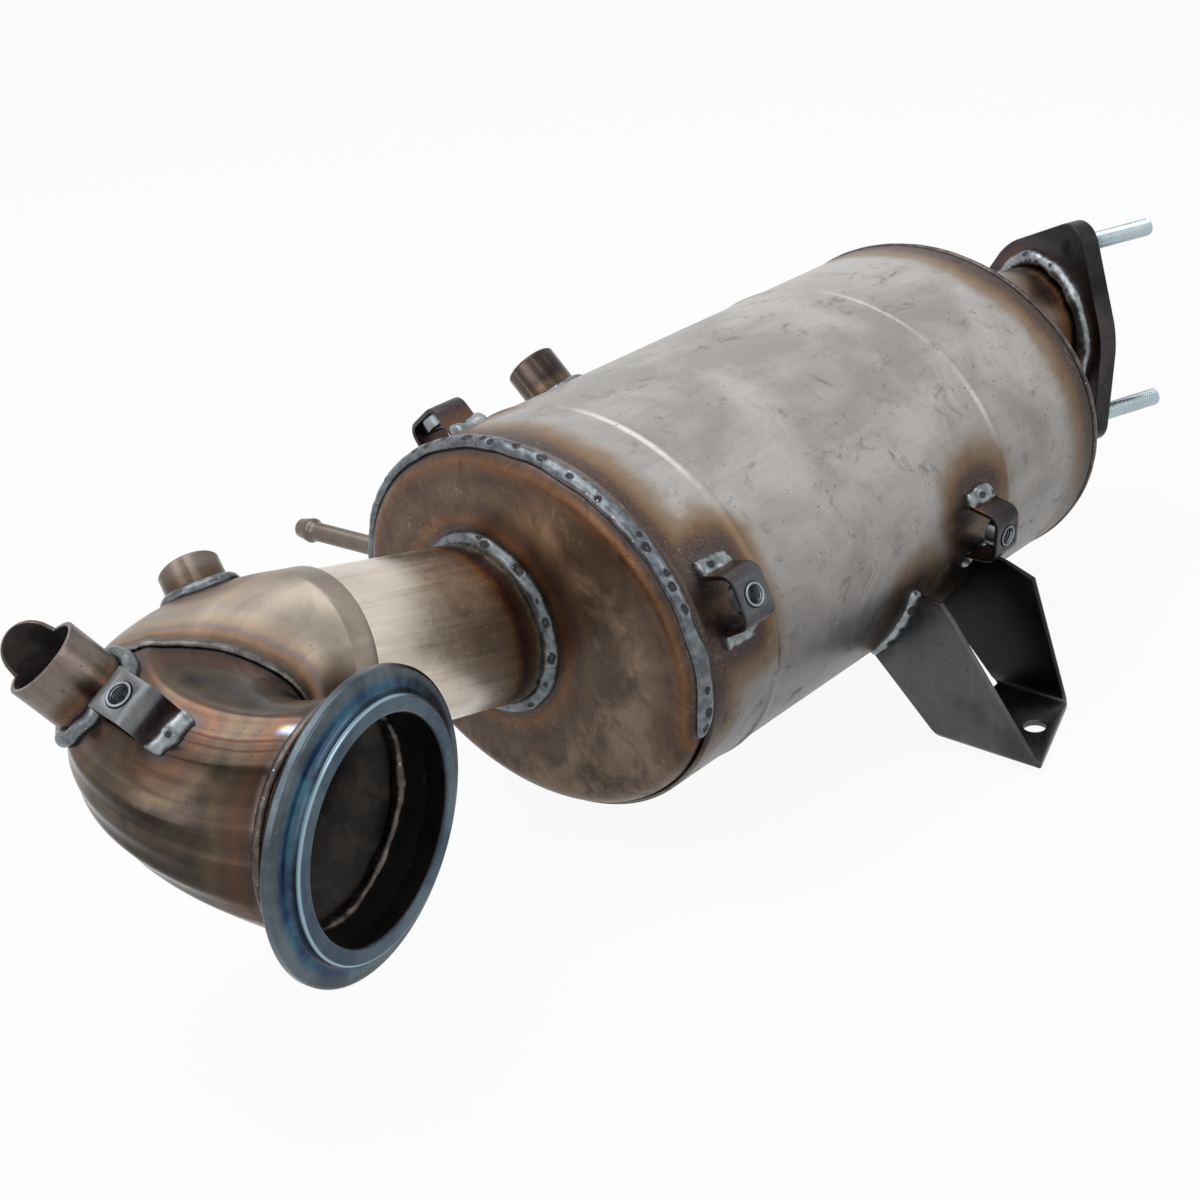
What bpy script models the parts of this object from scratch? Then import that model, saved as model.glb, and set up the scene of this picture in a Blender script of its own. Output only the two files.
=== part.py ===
"""Diesel particulate filter with an angled inlet elbow and a three-lug outlet flange.

Axes: +X runs along the can towards the outlet, +Z is up, across the can's flatter way.
Origin: on the can's own axis, at the front edge of its shell.
"""
import math

import bmesh
import bpy
from mathutils import Matrix, Vector
from mathutils.bvhtree import BVHTree

MM = 0.001
GAP = 0.3 * MM

# Ceramic bricks and the mats that hold them
MAT_THICKNESS = 4 * MM
MAT_INSET = 3 * MM
CATALYST_START = 12 * MM
CATALYST_LENGTH = 56 * MM
BRICK_SPACE = 32 * MM
FILTER_START = CATALYST_START + CATALYST_LENGTH + BRICK_SPACE
FILTER_LENGTH = 139 * MM
REAR_SPACE = 18 * MM

# Can, as long as what it holds
CAN_LENGTH = FILTER_START + FILTER_LENGTH + REAR_SPACE
CAN_HALF_WIDTH = 87.8 * MM
CAN_HALF_HEIGHT = 73.8 * MM
CAN_WALL = 1.5 * MM
BEAD_FROM_FRONT = 36 * MM
BEAD_FROM_REAR = 69 * MM
BEAD_HEIGHT = 1.0 * MM
BEAD_WIDTH = 6 * MM

# End caps
CAP_DEPTH = 8 * MM
CAP_CORNER = 8 * MM
CAP_SKIRT = 5 * MM
CAP_WALL = 1.8 * MM

# Inlet pipe
PIPE_RADIUS = 31.75 * MM
PIPE_WALL = 1.5 * MM
PIPE_SIDE = 15.5 * MM
PIPE_HEIGHT = 0 * MM
PIPE_RISE = math.radians(15)
PIPE_YAW = math.radians(2)
PIPE_LENGTH = 94 * MM
PIPE_INSIDE = 10 * MM

# Sleeve, bend and inlet flange
BEND_WALL = 1.6 * MM
SLEEVE_RADIUS = PIPE_RADIUS + GAP + BEND_WALL
SLEEVE_LAP = 8 * MM
SLEEVE_STRAIGHT = 10 * MM
BEND_BULGE = 20 * MM
BEND_WIDEN = 3.5 * MM
BEND_FLATTEN = 7.5 * MM
BEND_LIFT = 2 * MM
SEAM_TURN = math.radians(44)
SEAM_X = -140 * MM
SEAM_Y = 3.5 * MM
SEAM_GAP = 0.8 * MM
INLET_X = -134.9 * MM
INLET_Y = -65.2 * MM
INLET_Z = 7.1 * MM
INLET_YAW = math.radians(15)
INLET_DROP = math.radians(3.4)
INLET_RADIUS = 51 * MM
INLET_RIM = 3.2 * MM
INLET_BORE = 36.7 * MM
INLET_LIP_RADIUS = 42.9 * MM
INLET_LIP_HEIGHT = 4.4 * MM
INLET_DEPTH = 14 * MM
NECK_RADIUS = 38.6 * MM
NECK_STRAIGHT = 3 * MM
EDGE = 0.8 * MM

# Outlet
OUTLET_REACH = 50.4 * MM
OUTLET_Y = -26 * MM
OUTLET_Z = 21.5 * MM
OUTLET_YAW = math.radians(20.4)
OUTLET_RADIUS = 30 * MM
OUTLET_WALL = 1.5 * MM
OUTLET_INSIDE = 6 * MM
PLATE_THICKNESS = 9 * MM
PLATE_RADIUS = 42.5 * MM
LUG_RADIUS = 11 * MM
LUG_REACH = 46.5 * MM
LUG_TURN = math.radians(65)
STUD_RADIUS = 4 * MM
STUD_LENGTH = 37 * MM
STUD_CHAMFER = 1 * MM

# Sensor bosses, side stub and pressure pipe
BOSS_RADIUS = 11 * MM
BOSS_BORE = 6 * MM
BOSS_A_HEIGHT = 12 * MM
BOSS_B_HEIGHT = 19.7 * MM
BOSS_SINK = 5 * MM
BOSS_CHAMFER = 0.8 * MM
BOSS_A_X = -110.7 * MM
BOSS_A_Y = 42.3 * MM
BOSS_A_Z = 48.9 * MM
BOSS_A_AXIS = Vector((0.21, 0.726, 0.655))
BOSS_B_X = FILTER_START - 8 * MM
BOSS_B_ANGLE = math.radians(51)
STUB_RADIUS = 14 * MM
STUB_WALL = 1.8 * MM
STUB_TONGUE = 10 * MM
STUB_DEPTH = 34 * MM
STUB_X = -181.7 * MM
STUB_Y = 24.3 * MM
STUB_Z = 62.9 * MM
STUB_AXIS = Vector((-0.48, 0.34, 0.81))
TONGUE_SIDE = Vector((0.28, 0.90, -0.21))
TONGUE_HALF_ANGLE = math.radians(44)
NIPPLE_X = 10 * MM
NIPPLE_ANGLE = math.radians(86)
NIPPLE_AXIS = Vector((-0.12, 1.0, 0.03))
NIPPLE_RADIUS = 4 * MM
NIPPLE_BORE = 3 * MM
NIPPLE_BARB = 5.2 * MM
NIPPLE_LENGTH = 54 * MM

# Hat brackets with their weld nuts
HAT_SPAN = 17 * MM
HAT_WIDTH = 15 * MM
HAT_HEIGHT = 12 * MM
HAT_LEAN = 1.5 * MM
HAT_SHEET = 1.8 * MM
HAT_BEND = 2.5 * MM
HAT_LIFT = 0.5 * MM
NUT_RADIUS = 6.5 * MM
NUT_COLLAR = 4.4 * MM
NUT_BORE = 3 * MM
NUT_HEIGHT = 5 * MM
NUT_PROUD = 0.5 * MM
HATS_ON_CAN = (
    ("hat_bracket_front_near", 17.5 * MM, math.radians(-71)),
    ("hat_bracket_rear_near", 167 * MM, math.radians(-95)),
    ("hat_bracket_front_far", 25 * MM, math.radians(43)),
)
BEND_HAT_X = -181 * MM
BEND_HAT_Y = -15.6 * MM
BEND_HAT_Z = 62.5 * MM
BEND_HAT_SPAN = Vector((0.04, 1.0, 0.08))

# Support bracket, a folded U
FOOT_SHEET = 2.5 * MM
FOOT_NEAR_X = 126 * MM
FOOT_FAR_X = 178 * MM
FOOT_Z = -84 * MM
FOOT_BEND = 4 * MM
FOOT_HOLE = 4.5 * MM
FOOT_HOLE_Y = -122 * MM
FOOT_NEAR = ((-60, -50), (-93.5, -84), (-140, -84), (-100.7, -27.5), (-96, -22), (-76, -20))
FOOT_FAR = ((-60, -50), (-90, -84), (-122, -84), (-107, -29.5), (-95, -25), (-76, -20))

# Weld beads
BEAD_RADIUS = 2.6 * MM
SMALL_BEAD = 1.8 * MM
SEAM_BEAD = 1.0 * MM
CAP_BEAD = 2.3 * MM
RIM_BEAD = 1.3 * MM
COLLAR_GAP = 0.6 * MM
FRONT_WELD_END = math.radians(108)
FOOT_WELD_FROM = math.radians(-104)
FOOT_WELD_TO = math.radians(-134)

ROUND_SIDES = 36
OVAL_SIDES = 56
SMALL_SIDES = 18
BEAD_SIDES = 6
BEND_STEPS = 12
CORNER_STEPS = 3

for old in list(bpy.data.objects):
    bpy.data.objects.remove(old, do_unlink=True)

parts = bpy.data.collections.new("diesel_particulate_filter")
cutters = bpy.data.collections.new("cutters")
bpy.context.scene.collection.children.link(parts)
bpy.context.scene.collection.children.link(cutters)


def material(name, colour, roughness, metallic):
    made = bpy.data.materials.new(name)
    made.use_nodes = True
    shader = made.node_tree.nodes["Principled BSDF"]
    shader.inputs["Base Color"].default_value = (*colour, 1.0)
    shader.inputs["Roughness"].default_value = roughness
    shader.inputs["Metallic"].default_value = metallic
    return made


FINISHES = {
    "shell": ((0.42, 0.38, 0.34), 0.42, 1.0),
    "cap": ((0.26, 0.17, 0.11), 0.45, 1.0),
    "pipe": ((0.45, 0.34, 0.24), 0.38, 1.0),
    "elbow": ((0.32, 0.23, 0.17), 0.40, 1.0),
    "flange_blue": ((0.12, 0.20, 0.28), 0.35, 1.0),
    "flange_dark": ((0.14, 0.13, 0.15), 0.50, 1.0),
    "zinc": ((0.60, 0.68, 0.72), 0.30, 1.0),
    "boss": ((0.38, 0.32, 0.28), 0.35, 1.0),
    "sheet": ((0.15, 0.15, 0.15), 0.55, 1.0),
    "weld": ((0.25, 0.28, 0.31), 0.35, 1.0),
    "ceramic": ((0.35, 0.30, 0.24), 0.95, 0.0),
    "mat": ((0.75, 0.73, 0.68), 1.0, 0.0),
}


def finish(obj, slot, smooth=40):
    """Give a piece its own copy of a finish, and put it with the parts."""
    obj.data.materials.append(material(obj.name + "_" + slot, *FINISHES[slot]))
    if smooth:
        obj.data.shade_smooth()
        obj.data.set_sharp_from_angle(angle=math.radians(smooth))
    return obj


def from_bmesh(name, bm, group=parts):
    mesh = bpy.data.meshes.new(name)
    bm.to_mesh(mesh)
    bm.free()
    obj = bpy.data.objects.new(name, mesh)
    group.objects.link(obj)
    if group is cutters:
        obj.hide_render = True
        obj.display_type = "WIRE"
    return obj


def facing(axis, up=Vector((0, 0, 1))):
    """A turn that takes +Z to the axis and +X as near as it can to up."""
    z = axis.normalized()
    y = z.cross(up).normalized()
    return Matrix((y.cross(z), y, z)).transposed().to_4x4()


def ring(centre, axis, radius, sides=ROUND_SIDES):
    turn = facing(axis)
    points = []
    for k in range(sides):
        a = math.tau * k / sides
        points.append(centre + turn @ Vector((radius * math.cos(a), radius * math.sin(a), 0)))
    return points


def oval_point(x, grow, angle):
    """A point on the can's oval section; the angle is turned from +Z towards +Y."""
    return Vector((x, (CAN_HALF_WIDTH + grow) * math.sin(angle), (CAN_HALF_HEIGHT + grow) * math.cos(angle)))


def oval_normal(angle):
    return Vector((0, math.sin(angle) / CAN_HALF_WIDTH, math.cos(angle) / CAN_HALF_HEIGHT)).normalized()


def oval_ring(x, grow):
    return [oval_point(x, grow, -math.tau * k / OVAL_SIDES) for k in range(OVAL_SIDES)]


def loft(name, rings, first_cap=False, last_cap=False, closed=False, group=parts):
    """A surface through rings of equal count; closed joins the last ring to the first."""
    bm = bmesh.new()
    rows = [[bm.verts.new(p) for p in points] for points in rings]
    count = len(rows[0])
    pairs = list(zip(rows, rows[1:]))
    if closed:
        pairs.append((rows[-1], rows[0]))
    for low, high in pairs:
        for k in range(count):
            j = (k + 1) % count
            bm.faces.new((low[k], low[j], high[j], high[k]))
    if first_cap:
        bm.faces.new(list(reversed(rows[0])))
    if last_cap:
        bm.faces.new(rows[-1])
    if closed or (first_cap and last_cap):
        bmesh.ops.recalc_face_normals(bm, faces=bm.faces)
    return from_bmesh(name, bm, group)


def thicken(obj, wall, outwards=False):
    """Turn an open skin, whose faces point out, into a wall."""
    solidify = obj.modifiers.new("wall", "SOLIDIFY")
    solidify.thickness = wall
    solidify.offset = 1.0 if outwards else -1.0
    solidify.use_even_offset = True
    return obj


def cut(obj, cutter, operation="DIFFERENCE"):
    boolean = obj.modifiers.new("cut", "BOOLEAN")
    boolean.operation = operation
    boolean.solver = "EXACT"
    boolean.object = cutter
    return obj


def turned(name, profile, centre, axis, sides=ROUND_SIDES, closed=True):
    """A turned body from a (radius, height) profile, run down its outer side first."""
    count = len(profile)
    edges = [(k, (k + 1) % count) for k in range(count if closed else count - 1)]
    mesh = bpy.data.meshes.new(name)
    mesh.from_pydata([(r, 0, h) for r, h in profile], edges, [])
    obj = bpy.data.objects.new(name, mesh)
    parts.objects.link(obj)
    obj.matrix_world = Matrix.Translation(centre) @ facing(axis)
    screw = obj.modifiers.new("turn", "SCREW")
    screw.axis = "Z"
    screw.angle = math.tau
    screw.steps = sides
    screw.render_steps = sides
    screw.use_merge_vertices = True
    screw.merge_threshold = 0.00001
    return obj


def rod(name, centre, axis, radius, low, high, sides=SMALL_SIDES):
    """A round cutter along an axis, between two heights."""
    bm = bmesh.new()
    depth = high - low
    bmesh.ops.create_cone(bm, cap_ends=True, segments=sides, radius1=radius, radius2=radius, depth=depth)
    place = Matrix.Translation(centre) @ facing(axis) @ Matrix.Translation((0, 0, (low + high) / 2))
    bmesh.ops.transform(bm, matrix=place, verts=bm.verts)
    return from_bmesh(name, bm, cutters)


def tube(name, centre, axis, outer, inner, low, high, sides=ROUND_SIDES, chamfer=0.0):
    profile = [(outer - chamfer, high), (outer, high - chamfer), (outer, low), (inner, low), (inner, high)]
    if not chamfer:
        profile = profile[1:]
    return turned(name, profile, centre, axis, sides)


# Centre lines
inlet_centre = Vector((INLET_X, INLET_Y, INLET_Z))
seam_point = Vector((SEAM_X, SEAM_Y, 0))
stub_centre = Vector((STUB_X, STUB_Y, STUB_Z))
outlet_centre = Vector((CAN_LENGTH + CAP_DEPTH + OUTLET_REACH, OUTLET_Y, OUTLET_Z))
pipe_axis = Vector((
    -math.cos(PIPE_RISE) * math.cos(PIPE_YAW),
    -math.cos(PIPE_RISE) * math.sin(PIPE_YAW),
    math.sin(PIPE_RISE),
))
pipe_foot = Vector((-CAP_DEPTH, PIPE_SIDE, PIPE_HEIGHT))
inlet_axis = Vector((
    math.sin(INLET_YAW) * math.cos(INLET_DROP),
    -math.cos(INLET_YAW) * math.cos(INLET_DROP),
    -math.sin(INLET_DROP),
))
outlet_axis = Vector((math.cos(OUTLET_YAW), -math.sin(OUTLET_YAW), 0))
rear_face = CAN_LENGTH + CAP_DEPTH
seam_normal = Vector((math.cos(SEAM_TURN), math.sin(SEAM_TURN), 0))

sleeve_start = pipe_foot + pipe_axis * (PIPE_LENGTH - SLEEVE_LAP)
bend_start = sleeve_start + pipe_axis * SLEEVE_STRAIGHT
bend_end = inlet_centre - inlet_axis * (INLET_DEPTH + GAP + NECK_STRAIGHT)

# The bend's sections fan about a pivot line where the planes of its two ends meet
bend_up = pipe_axis.cross(inlet_axis).normalized()
bend_angle = pipe_axis.angle(inlet_axis)
pivot = Matrix((pipe_axis, inlet_axis, bend_up)).inverted() @ Vector((
    pipe_axis.dot(bend_start), inlet_axis.dot(bend_end), bend_up.dot(bend_start)))
start_reach = (bend_start - pivot).length
end_height = (bend_end - pivot).dot(bend_up)
end_reach = (bend_end - pivot - bend_up * end_height).length


def bend_section(t, grow=0.0):
    """A section of the bend: it swings out and widens towards the middle, and flattens there."""
    out = Matrix.Rotation(bend_angle * t, 3, bend_up) @ ((bend_start - pivot) / start_reach)
    share = t * t * (3 - 2 * t)
    middle = math.sin(math.pi * t)
    reach = start_reach + (end_reach - start_reach) * share + BEND_BULGE * middle
    radius = SLEEVE_RADIUS + (NECK_RADIUS - SLEEVE_RADIUS) * share + grow
    centre = pivot + out * reach + bend_up * (end_height * share + BEND_LIFT * middle)
    points = []
    for k in range(ROUND_SIDES):
        a = math.tau * k / ROUND_SIDES
        tall = bend_up * (radius - BEND_FLATTEN * middle) * math.cos(a)
        points.append(centre + tall + out * (radius + BEND_WIDEN * middle) * math.sin(a))
    return points


def duct_rings(grow=0.0):
    """The duct's outer sections, from the sleeve's front edge to the inlet flange's neck."""
    first = [p - pipe_axis * (SLEEVE_STRAIGHT + grow) for p in bend_section(0, grow)]
    last = [p + inlet_axis * (NECK_STRAIGHT + grow) for p in bend_section(1, grow)]
    middle = [bend_section(k / BEND_STEPS, grow) for k in range(1, BEND_STEPS)]
    return [first, bend_section(0, grow), *middle, bend_section(1, grow), last]


def tree_of(rings):
    """A search tree over a lofted skin, to seat pieces on it."""
    count = len(rings[0])
    points = [p for points in rings for p in points]
    faces = []
    for row in range(len(rings) - 1):
        for k in range(count):
            j = (k + 1) % count
            faces.append((row * count + k, row * count + j, (row + 1) * count + j, (row + 1) * count + k))
    return BVHTree.FromPolygons(points, faces)


duct_tree = tree_of(duct_rings())
can_tree = tree_of([oval_ring(-CAP_DEPTH, 0), oval_ring(rear_face, 0)])


def seat(tree, above, inwards):
    """Where a line from above a skin first meets it, with the skin's outward direction there."""
    place, normal, _, _ = tree.ray_cast(above - inwards * 60 * MM, inwards)
    if normal.dot(inwards) > 0:
        normal = -normal
    return place, normal


def bead(name, points, normals, radius, slot="weld", closed=True, sides=BEAD_SIDES):
    """A weld bead of round section along points, lifted off what it lies on by the gap."""
    rings = []
    count = len(points)
    for k, (point, normal) in enumerate(zip(points, normals)):
        before = points[(k - 1) % count] if closed or k else point
        after = points[(k + 1) % count] if closed or k < count - 1 else point
        along = (after - before).normalized()
        out = (normal - along * normal.dot(along)).normalized()
        side = along.cross(out)
        centre = point + normal * (radius + GAP)
        rings.append([
            centre + (out * math.cos(math.tau * j / sides) + side * math.sin(math.tau * j / sides)) * radius
            for j in range(sides)
        ])
    return finish(loft(name, rings, not closed, not closed, closed), slot)


def half(obj, point, normal):
    """Keep the side of a skin that the normal points to."""
    bm = bmesh.new()
    bm.from_mesh(obj.data)
    bmesh.ops.bisect_plane(
        bm, geom=bm.verts[:] + bm.edges[:] + bm.faces[:], plane_co=point, plane_no=normal, clear_inner=True)
    bm.to_mesh(obj.data)
    bm.free()
    return obj


# Can shell and its caps
can_cutter = loft("can_cutter", [oval_ring(-60 * MM, GAP), oval_ring(CAN_LENGTH + 60 * MM, GAP)], True, True,
                  group=cutters)
duct_cutter = loft("duct_cutter", duct_rings(GAP), True, True, group=cutters)


def shell_profile():
    profile = [(0, 0)]
    for middle in (BEAD_FROM_FRONT, CAN_LENGTH - BEAD_FROM_REAR):
        for share, height in ((-0.5, 0), (-0.25, 0.75), (0, 1), (0.25, 0.75), (0.5, 0)):
            profile.append((middle + share * BEAD_WIDTH, height * BEAD_HEIGHT))
    profile.append((CAN_LENGTH, 0))
    return profile


shell = loft("can_shell", [oval_ring(x, grow) for x, grow in shell_profile()])
thicken(shell, CAN_WALL)
finish(shell, "shell")


def cap(name, inward, hole):
    """A pressed cap whose skirt slides into the shell; inward is +1 at the front and -1 at the rear."""
    skirt = -(CAN_WALL + GAP)
    profile = [(CAP_SKIRT, skirt)]
    for k in range(CORNER_STEPS + 1):
        a = math.radians(90) * k / CORNER_STEPS
        x = CAP_CORNER - CAP_DEPTH - CAP_CORNER * math.sin(a)
        profile.append((x, skirt - CAP_CORNER * (1 - math.cos(a))))
    rim = 0 if inward > 0 else CAN_LENGTH
    rings = [oval_ring(rim + inward * x, grow) for x, grow in profile]
    if inward > 0:
        rings.reverse()
        piece = loft(name, rings, first_cap=True)
    else:
        piece = loft(name, rings, last_cap=True)
    thicken(piece, CAP_WALL)
    cut(piece, hole)
    return finish(piece, "cap")


inlet_hole = rod("inlet_hole", pipe_foot, pipe_axis, PIPE_RADIUS + GAP, -30 * MM, 30 * MM, ROUND_SIDES)
outlet_foot = outlet_centre - outlet_axis * ((outlet_centre.x - rear_face) / outlet_axis.x)
outlet_reach = OUTLET_RADIUS + GAP
outlet_hole = rod("outlet_hole", outlet_foot, outlet_axis, outlet_reach, -30 * MM, 30 * MM, ROUND_SIDES)
cap("front_cap", 1, inlet_hole)
cap("rear_cap", -1, outlet_hole)


def brick(name, start, length):
    inset = -(CAN_WALL + MAT_THICKNESS + 2 * GAP)
    rings = [oval_ring(start, inset), oval_ring(start + length, inset)]
    return finish(loft(name, rings, True, True), "ceramic")


def mat(name, start, length):
    outer = -(CAN_WALL + GAP)
    rings = [
        oval_ring(start, outer - MAT_THICKNESS), oval_ring(start, outer),
        oval_ring(start + length, outer), oval_ring(start + length, outer - MAT_THICKNESS),
    ]
    return finish(loft(name, rings, closed=True), "mat")


brick("catalyst_brick", CATALYST_START, CATALYST_LENGTH)
mat("catalyst_mat", CATALYST_START + MAT_INSET, CATALYST_LENGTH - 2 * MAT_INSET)
brick("filter_brick", FILTER_START, FILTER_LENGTH)
mat("filter_mat", FILTER_START + MAT_INSET, FILTER_LENGTH - 2 * MAT_INSET)

# Inlet pipe, sleeve, elbow and flange
pipe_inner = PIPE_RADIUS - PIPE_WALL
finish(tube("inlet_pipe", pipe_foot, pipe_axis, PIPE_RADIUS, pipe_inner, -PIPE_INSIDE, PIPE_LENGTH), "pipe")

sleeve = half(loft("transition_sleeve", duct_rings()), seam_point + seam_normal * SEAM_GAP / 2, seam_normal)
thicken(sleeve, BEND_WALL)
elbow = half(loft("inlet_elbow", duct_rings()), seam_point - seam_normal * SEAM_GAP / 2, -seam_normal)
thicken(elbow, BEND_WALL)

inlet_flange = turned("inlet_flange", [
    (INLET_BORE, INLET_LIP_HEIGHT),
    (INLET_LIP_RADIUS - EDGE, INLET_LIP_HEIGHT),
    (INLET_LIP_RADIUS, INLET_LIP_HEIGHT - EDGE),
    (INLET_LIP_RADIUS, 0),
    (INLET_RADIUS - EDGE, 0),
    (INLET_RADIUS, -EDGE),
    (INLET_RADIUS, -INLET_RIM),
    (INLET_RADIUS - EDGE, -INLET_RIM - EDGE),
    (NECK_RADIUS + EDGE, -INLET_DEPTH + 4 * EDGE),
    (NECK_RADIUS, -INLET_DEPTH + 3 * EDGE),
    (NECK_RADIUS, -INLET_DEPTH),
    (INLET_BORE, -INLET_DEPTH),
], inlet_centre, inlet_axis, 48)
finish(inlet_flange, "flange_blue")

# Sensor bosses and the open stub
boss_a_side = BOSS_A_AXIS.normalized()
boss_a_foot = seat(duct_tree, Vector((BOSS_A_X, BOSS_A_Y, BOSS_A_Z)), -boss_a_side)[0]
boss_b_side = oval_normal(BOSS_B_ANGLE)
boss_b_foot = oval_point(BOSS_B_X, 0, BOSS_B_ANGLE)


def boss(name, foot, axis, height, cutter, wall, tree):
    """A turned sensor boss, cut to sit on its wall, with a bead round it and a hole under it."""
    piece = tube(name, foot, axis, BOSS_RADIUS, BOSS_BORE, -BOSS_SINK, height, 32, BOSS_CHAMFER)
    cut(piece, cutter)
    finish(piece, "boss")
    cut(wall, rod(name + "_hole", foot, axis, BOSS_BORE, -BOSS_SINK * 2, height))
    collar(name + "_weld", foot, axis, BOSS_RADIUS, SMALL_BEAD, tree)


def collar(name, foot, axis, radius, bead_radius, tree, sides=32):
    """A bead round a boss or tube, draped over the skin that it stands on."""
    points = []
    normals = []
    for point in ring(foot, axis, radius + bead_radius + COLLAR_GAP, sides):
        place, normal = seat(tree, point, -axis)
        points.append(place)
        normals.append(normal)
    return bead(name, points, normals, bead_radius)


boss("sensor_boss_inlet", boss_a_foot, boss_a_side, BOSS_A_HEIGHT, duct_cutter, sleeve, duct_tree)
boss("sensor_boss_can", boss_b_foot, boss_b_side, BOSS_B_HEIGHT, can_cutter, shell, can_tree)

stub_axis = STUB_AXIS.normalized()
stub_foot = stub_centre - stub_axis * STUB_DEPTH


def stub_ring(radius, height, tongue=0.0):
    """A ring across the stub; its far side can rise into a round tongue."""
    turn = facing(stub_axis, TONGUE_SIDE)
    points = []
    for k in range(ROUND_SIDES):
        a = math.tau * k / ROUND_SIDES
        away = min(a, math.tau - a) / TONGUE_HALF_ANGLE
        rise = tongue * math.sqrt(max(0.0, 1 - away * away))
        points.append(stub_foot + turn @ Vector((radius * math.cos(a), radius * math.sin(a), height + rise)))
    return points


stub = loft("side_stub", [
    stub_ring(STUB_RADIUS, 0),
    stub_ring(STUB_RADIUS, STUB_DEPTH, STUB_TONGUE),
    stub_ring(STUB_RADIUS - STUB_WALL, STUB_DEPTH, STUB_TONGUE),
    stub_ring(STUB_RADIUS - STUB_WALL, 0),
], closed=True)
cut(stub, duct_cutter)
finish(stub, "boss")
cut(elbow, rod("stub_hole", stub_foot, stub_axis, STUB_RADIUS - STUB_WALL, 0, STUB_DEPTH, ROUND_SIDES))
collar("side_stub_weld", stub_centre, stub_axis, STUB_RADIUS, SMALL_BEAD, duct_tree)
finish(sleeve, "pipe")
finish(elbow, "elbow")

# Pressure pipe, whose barbed end takes a hose
nipple_foot = oval_point(NIPPLE_X, 0, NIPPLE_ANGLE)
nipple_axis = NIPPLE_AXIS.normalized()
nipple = turned("pressure_pipe", [
    (NIPPLE_BORE, NIPPLE_LENGTH),
    (NIPPLE_RADIUS, NIPPLE_LENGTH),
    (NIPPLE_BARB, NIPPLE_LENGTH - 1.5 * NIPPLE_RADIUS),
    (NIPPLE_BARB, NIPPLE_LENGTH - 2 * NIPPLE_RADIUS),
    (NIPPLE_RADIUS, NIPPLE_LENGTH - 2.3 * NIPPLE_RADIUS),
    (NIPPLE_RADIUS, -BOSS_SINK),
    (NIPPLE_BORE, -BOSS_SINK),
], nipple_foot, nipple_axis, 20)
cut(nipple, can_cutter)
finish(nipple, "boss")
cut(shell, rod("nipple_hole", nipple_foot, nipple_axis, NIPPLE_BORE, -8 * MM, 8 * MM, 20))
collar("pressure_pipe_weld", nipple_foot, nipple_axis, NIPPLE_RADIUS, SMALL_BEAD * 0.7, can_tree, 20)

# Outlet pipe, three-lug flange and its studs
outlet_back = (outlet_foot - outlet_centre).length + OUTLET_INSIDE
finish(tube("outlet_pipe", outlet_centre, outlet_axis, OUTLET_RADIUS, OUTLET_RADIUS - OUTLET_WALL,
            -outlet_back, OUTLET_INSIDE), "pipe")
plate_turn = Matrix.Translation(outlet_centre) @ facing(outlet_axis)


def plate_outline():
    """A disc with three round lugs, joined by straight flanks; turned from the viewer's side upwards."""
    flank = math.acos((PLATE_RADIUS - LUG_RADIUS) / LUG_REACH)
    between = math.tau / 3 - 2 * flank
    points = []
    for lug in range(3):
        turn = LUG_TURN + math.tau * lug / 3
        for k in range(9):
            a = turn - flank + flank * k / 4
            points.append((
                LUG_REACH * math.cos(turn) + LUG_RADIUS * math.cos(a),
                LUG_REACH * math.sin(turn) + LUG_RADIUS * math.sin(a),
            ))
        for k in range(5):
            a = turn + flank + between * k / 4
            points.append((PLATE_RADIUS * math.cos(a), PLATE_RADIUS * math.sin(a)))
    return points


outline = plate_outline()
plate_inner = [plate_turn @ Vector((up, side, 0)) for side, up in outline]
plate_outer = [p + outlet_axis * PLATE_THICKNESS for p in plate_inner]
plate = loft("outlet_flange", [plate_inner, plate_outer], True, True)
plate_end = 2 * PLATE_THICKNESS
cut(plate, rod("plate_bore", outlet_centre, outlet_axis, outlet_reach, -5 * MM, plate_end, ROUND_SIDES))
for lug, name in enumerate(("upper_stud", "far_stud", "lower_stud")):
    turn = LUG_TURN + math.tau * lug / 3
    foot = plate_turn @ Vector((LUG_REACH * math.sin(turn), LUG_REACH * math.cos(turn), 0))
    cut(plate, rod(name + "_hole", foot, outlet_axis, STUD_RADIUS + GAP, -5 * MM, plate_end))
    tip = PLATE_THICKNESS + STUD_LENGTH
    stud = turned(name, [
        (0, tip), (STUD_RADIUS - STUD_CHAMFER, tip), (STUD_RADIUS, tip - STUD_CHAMFER),
        (STUD_RADIUS, STUD_CHAMFER), (STUD_RADIUS - STUD_CHAMFER, 0), (0, 0),
    ], foot, outlet_axis, SMALL_SIDES, closed=False)
    finish(stud, "zinc")
finish(plate, "flange_dark")


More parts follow.
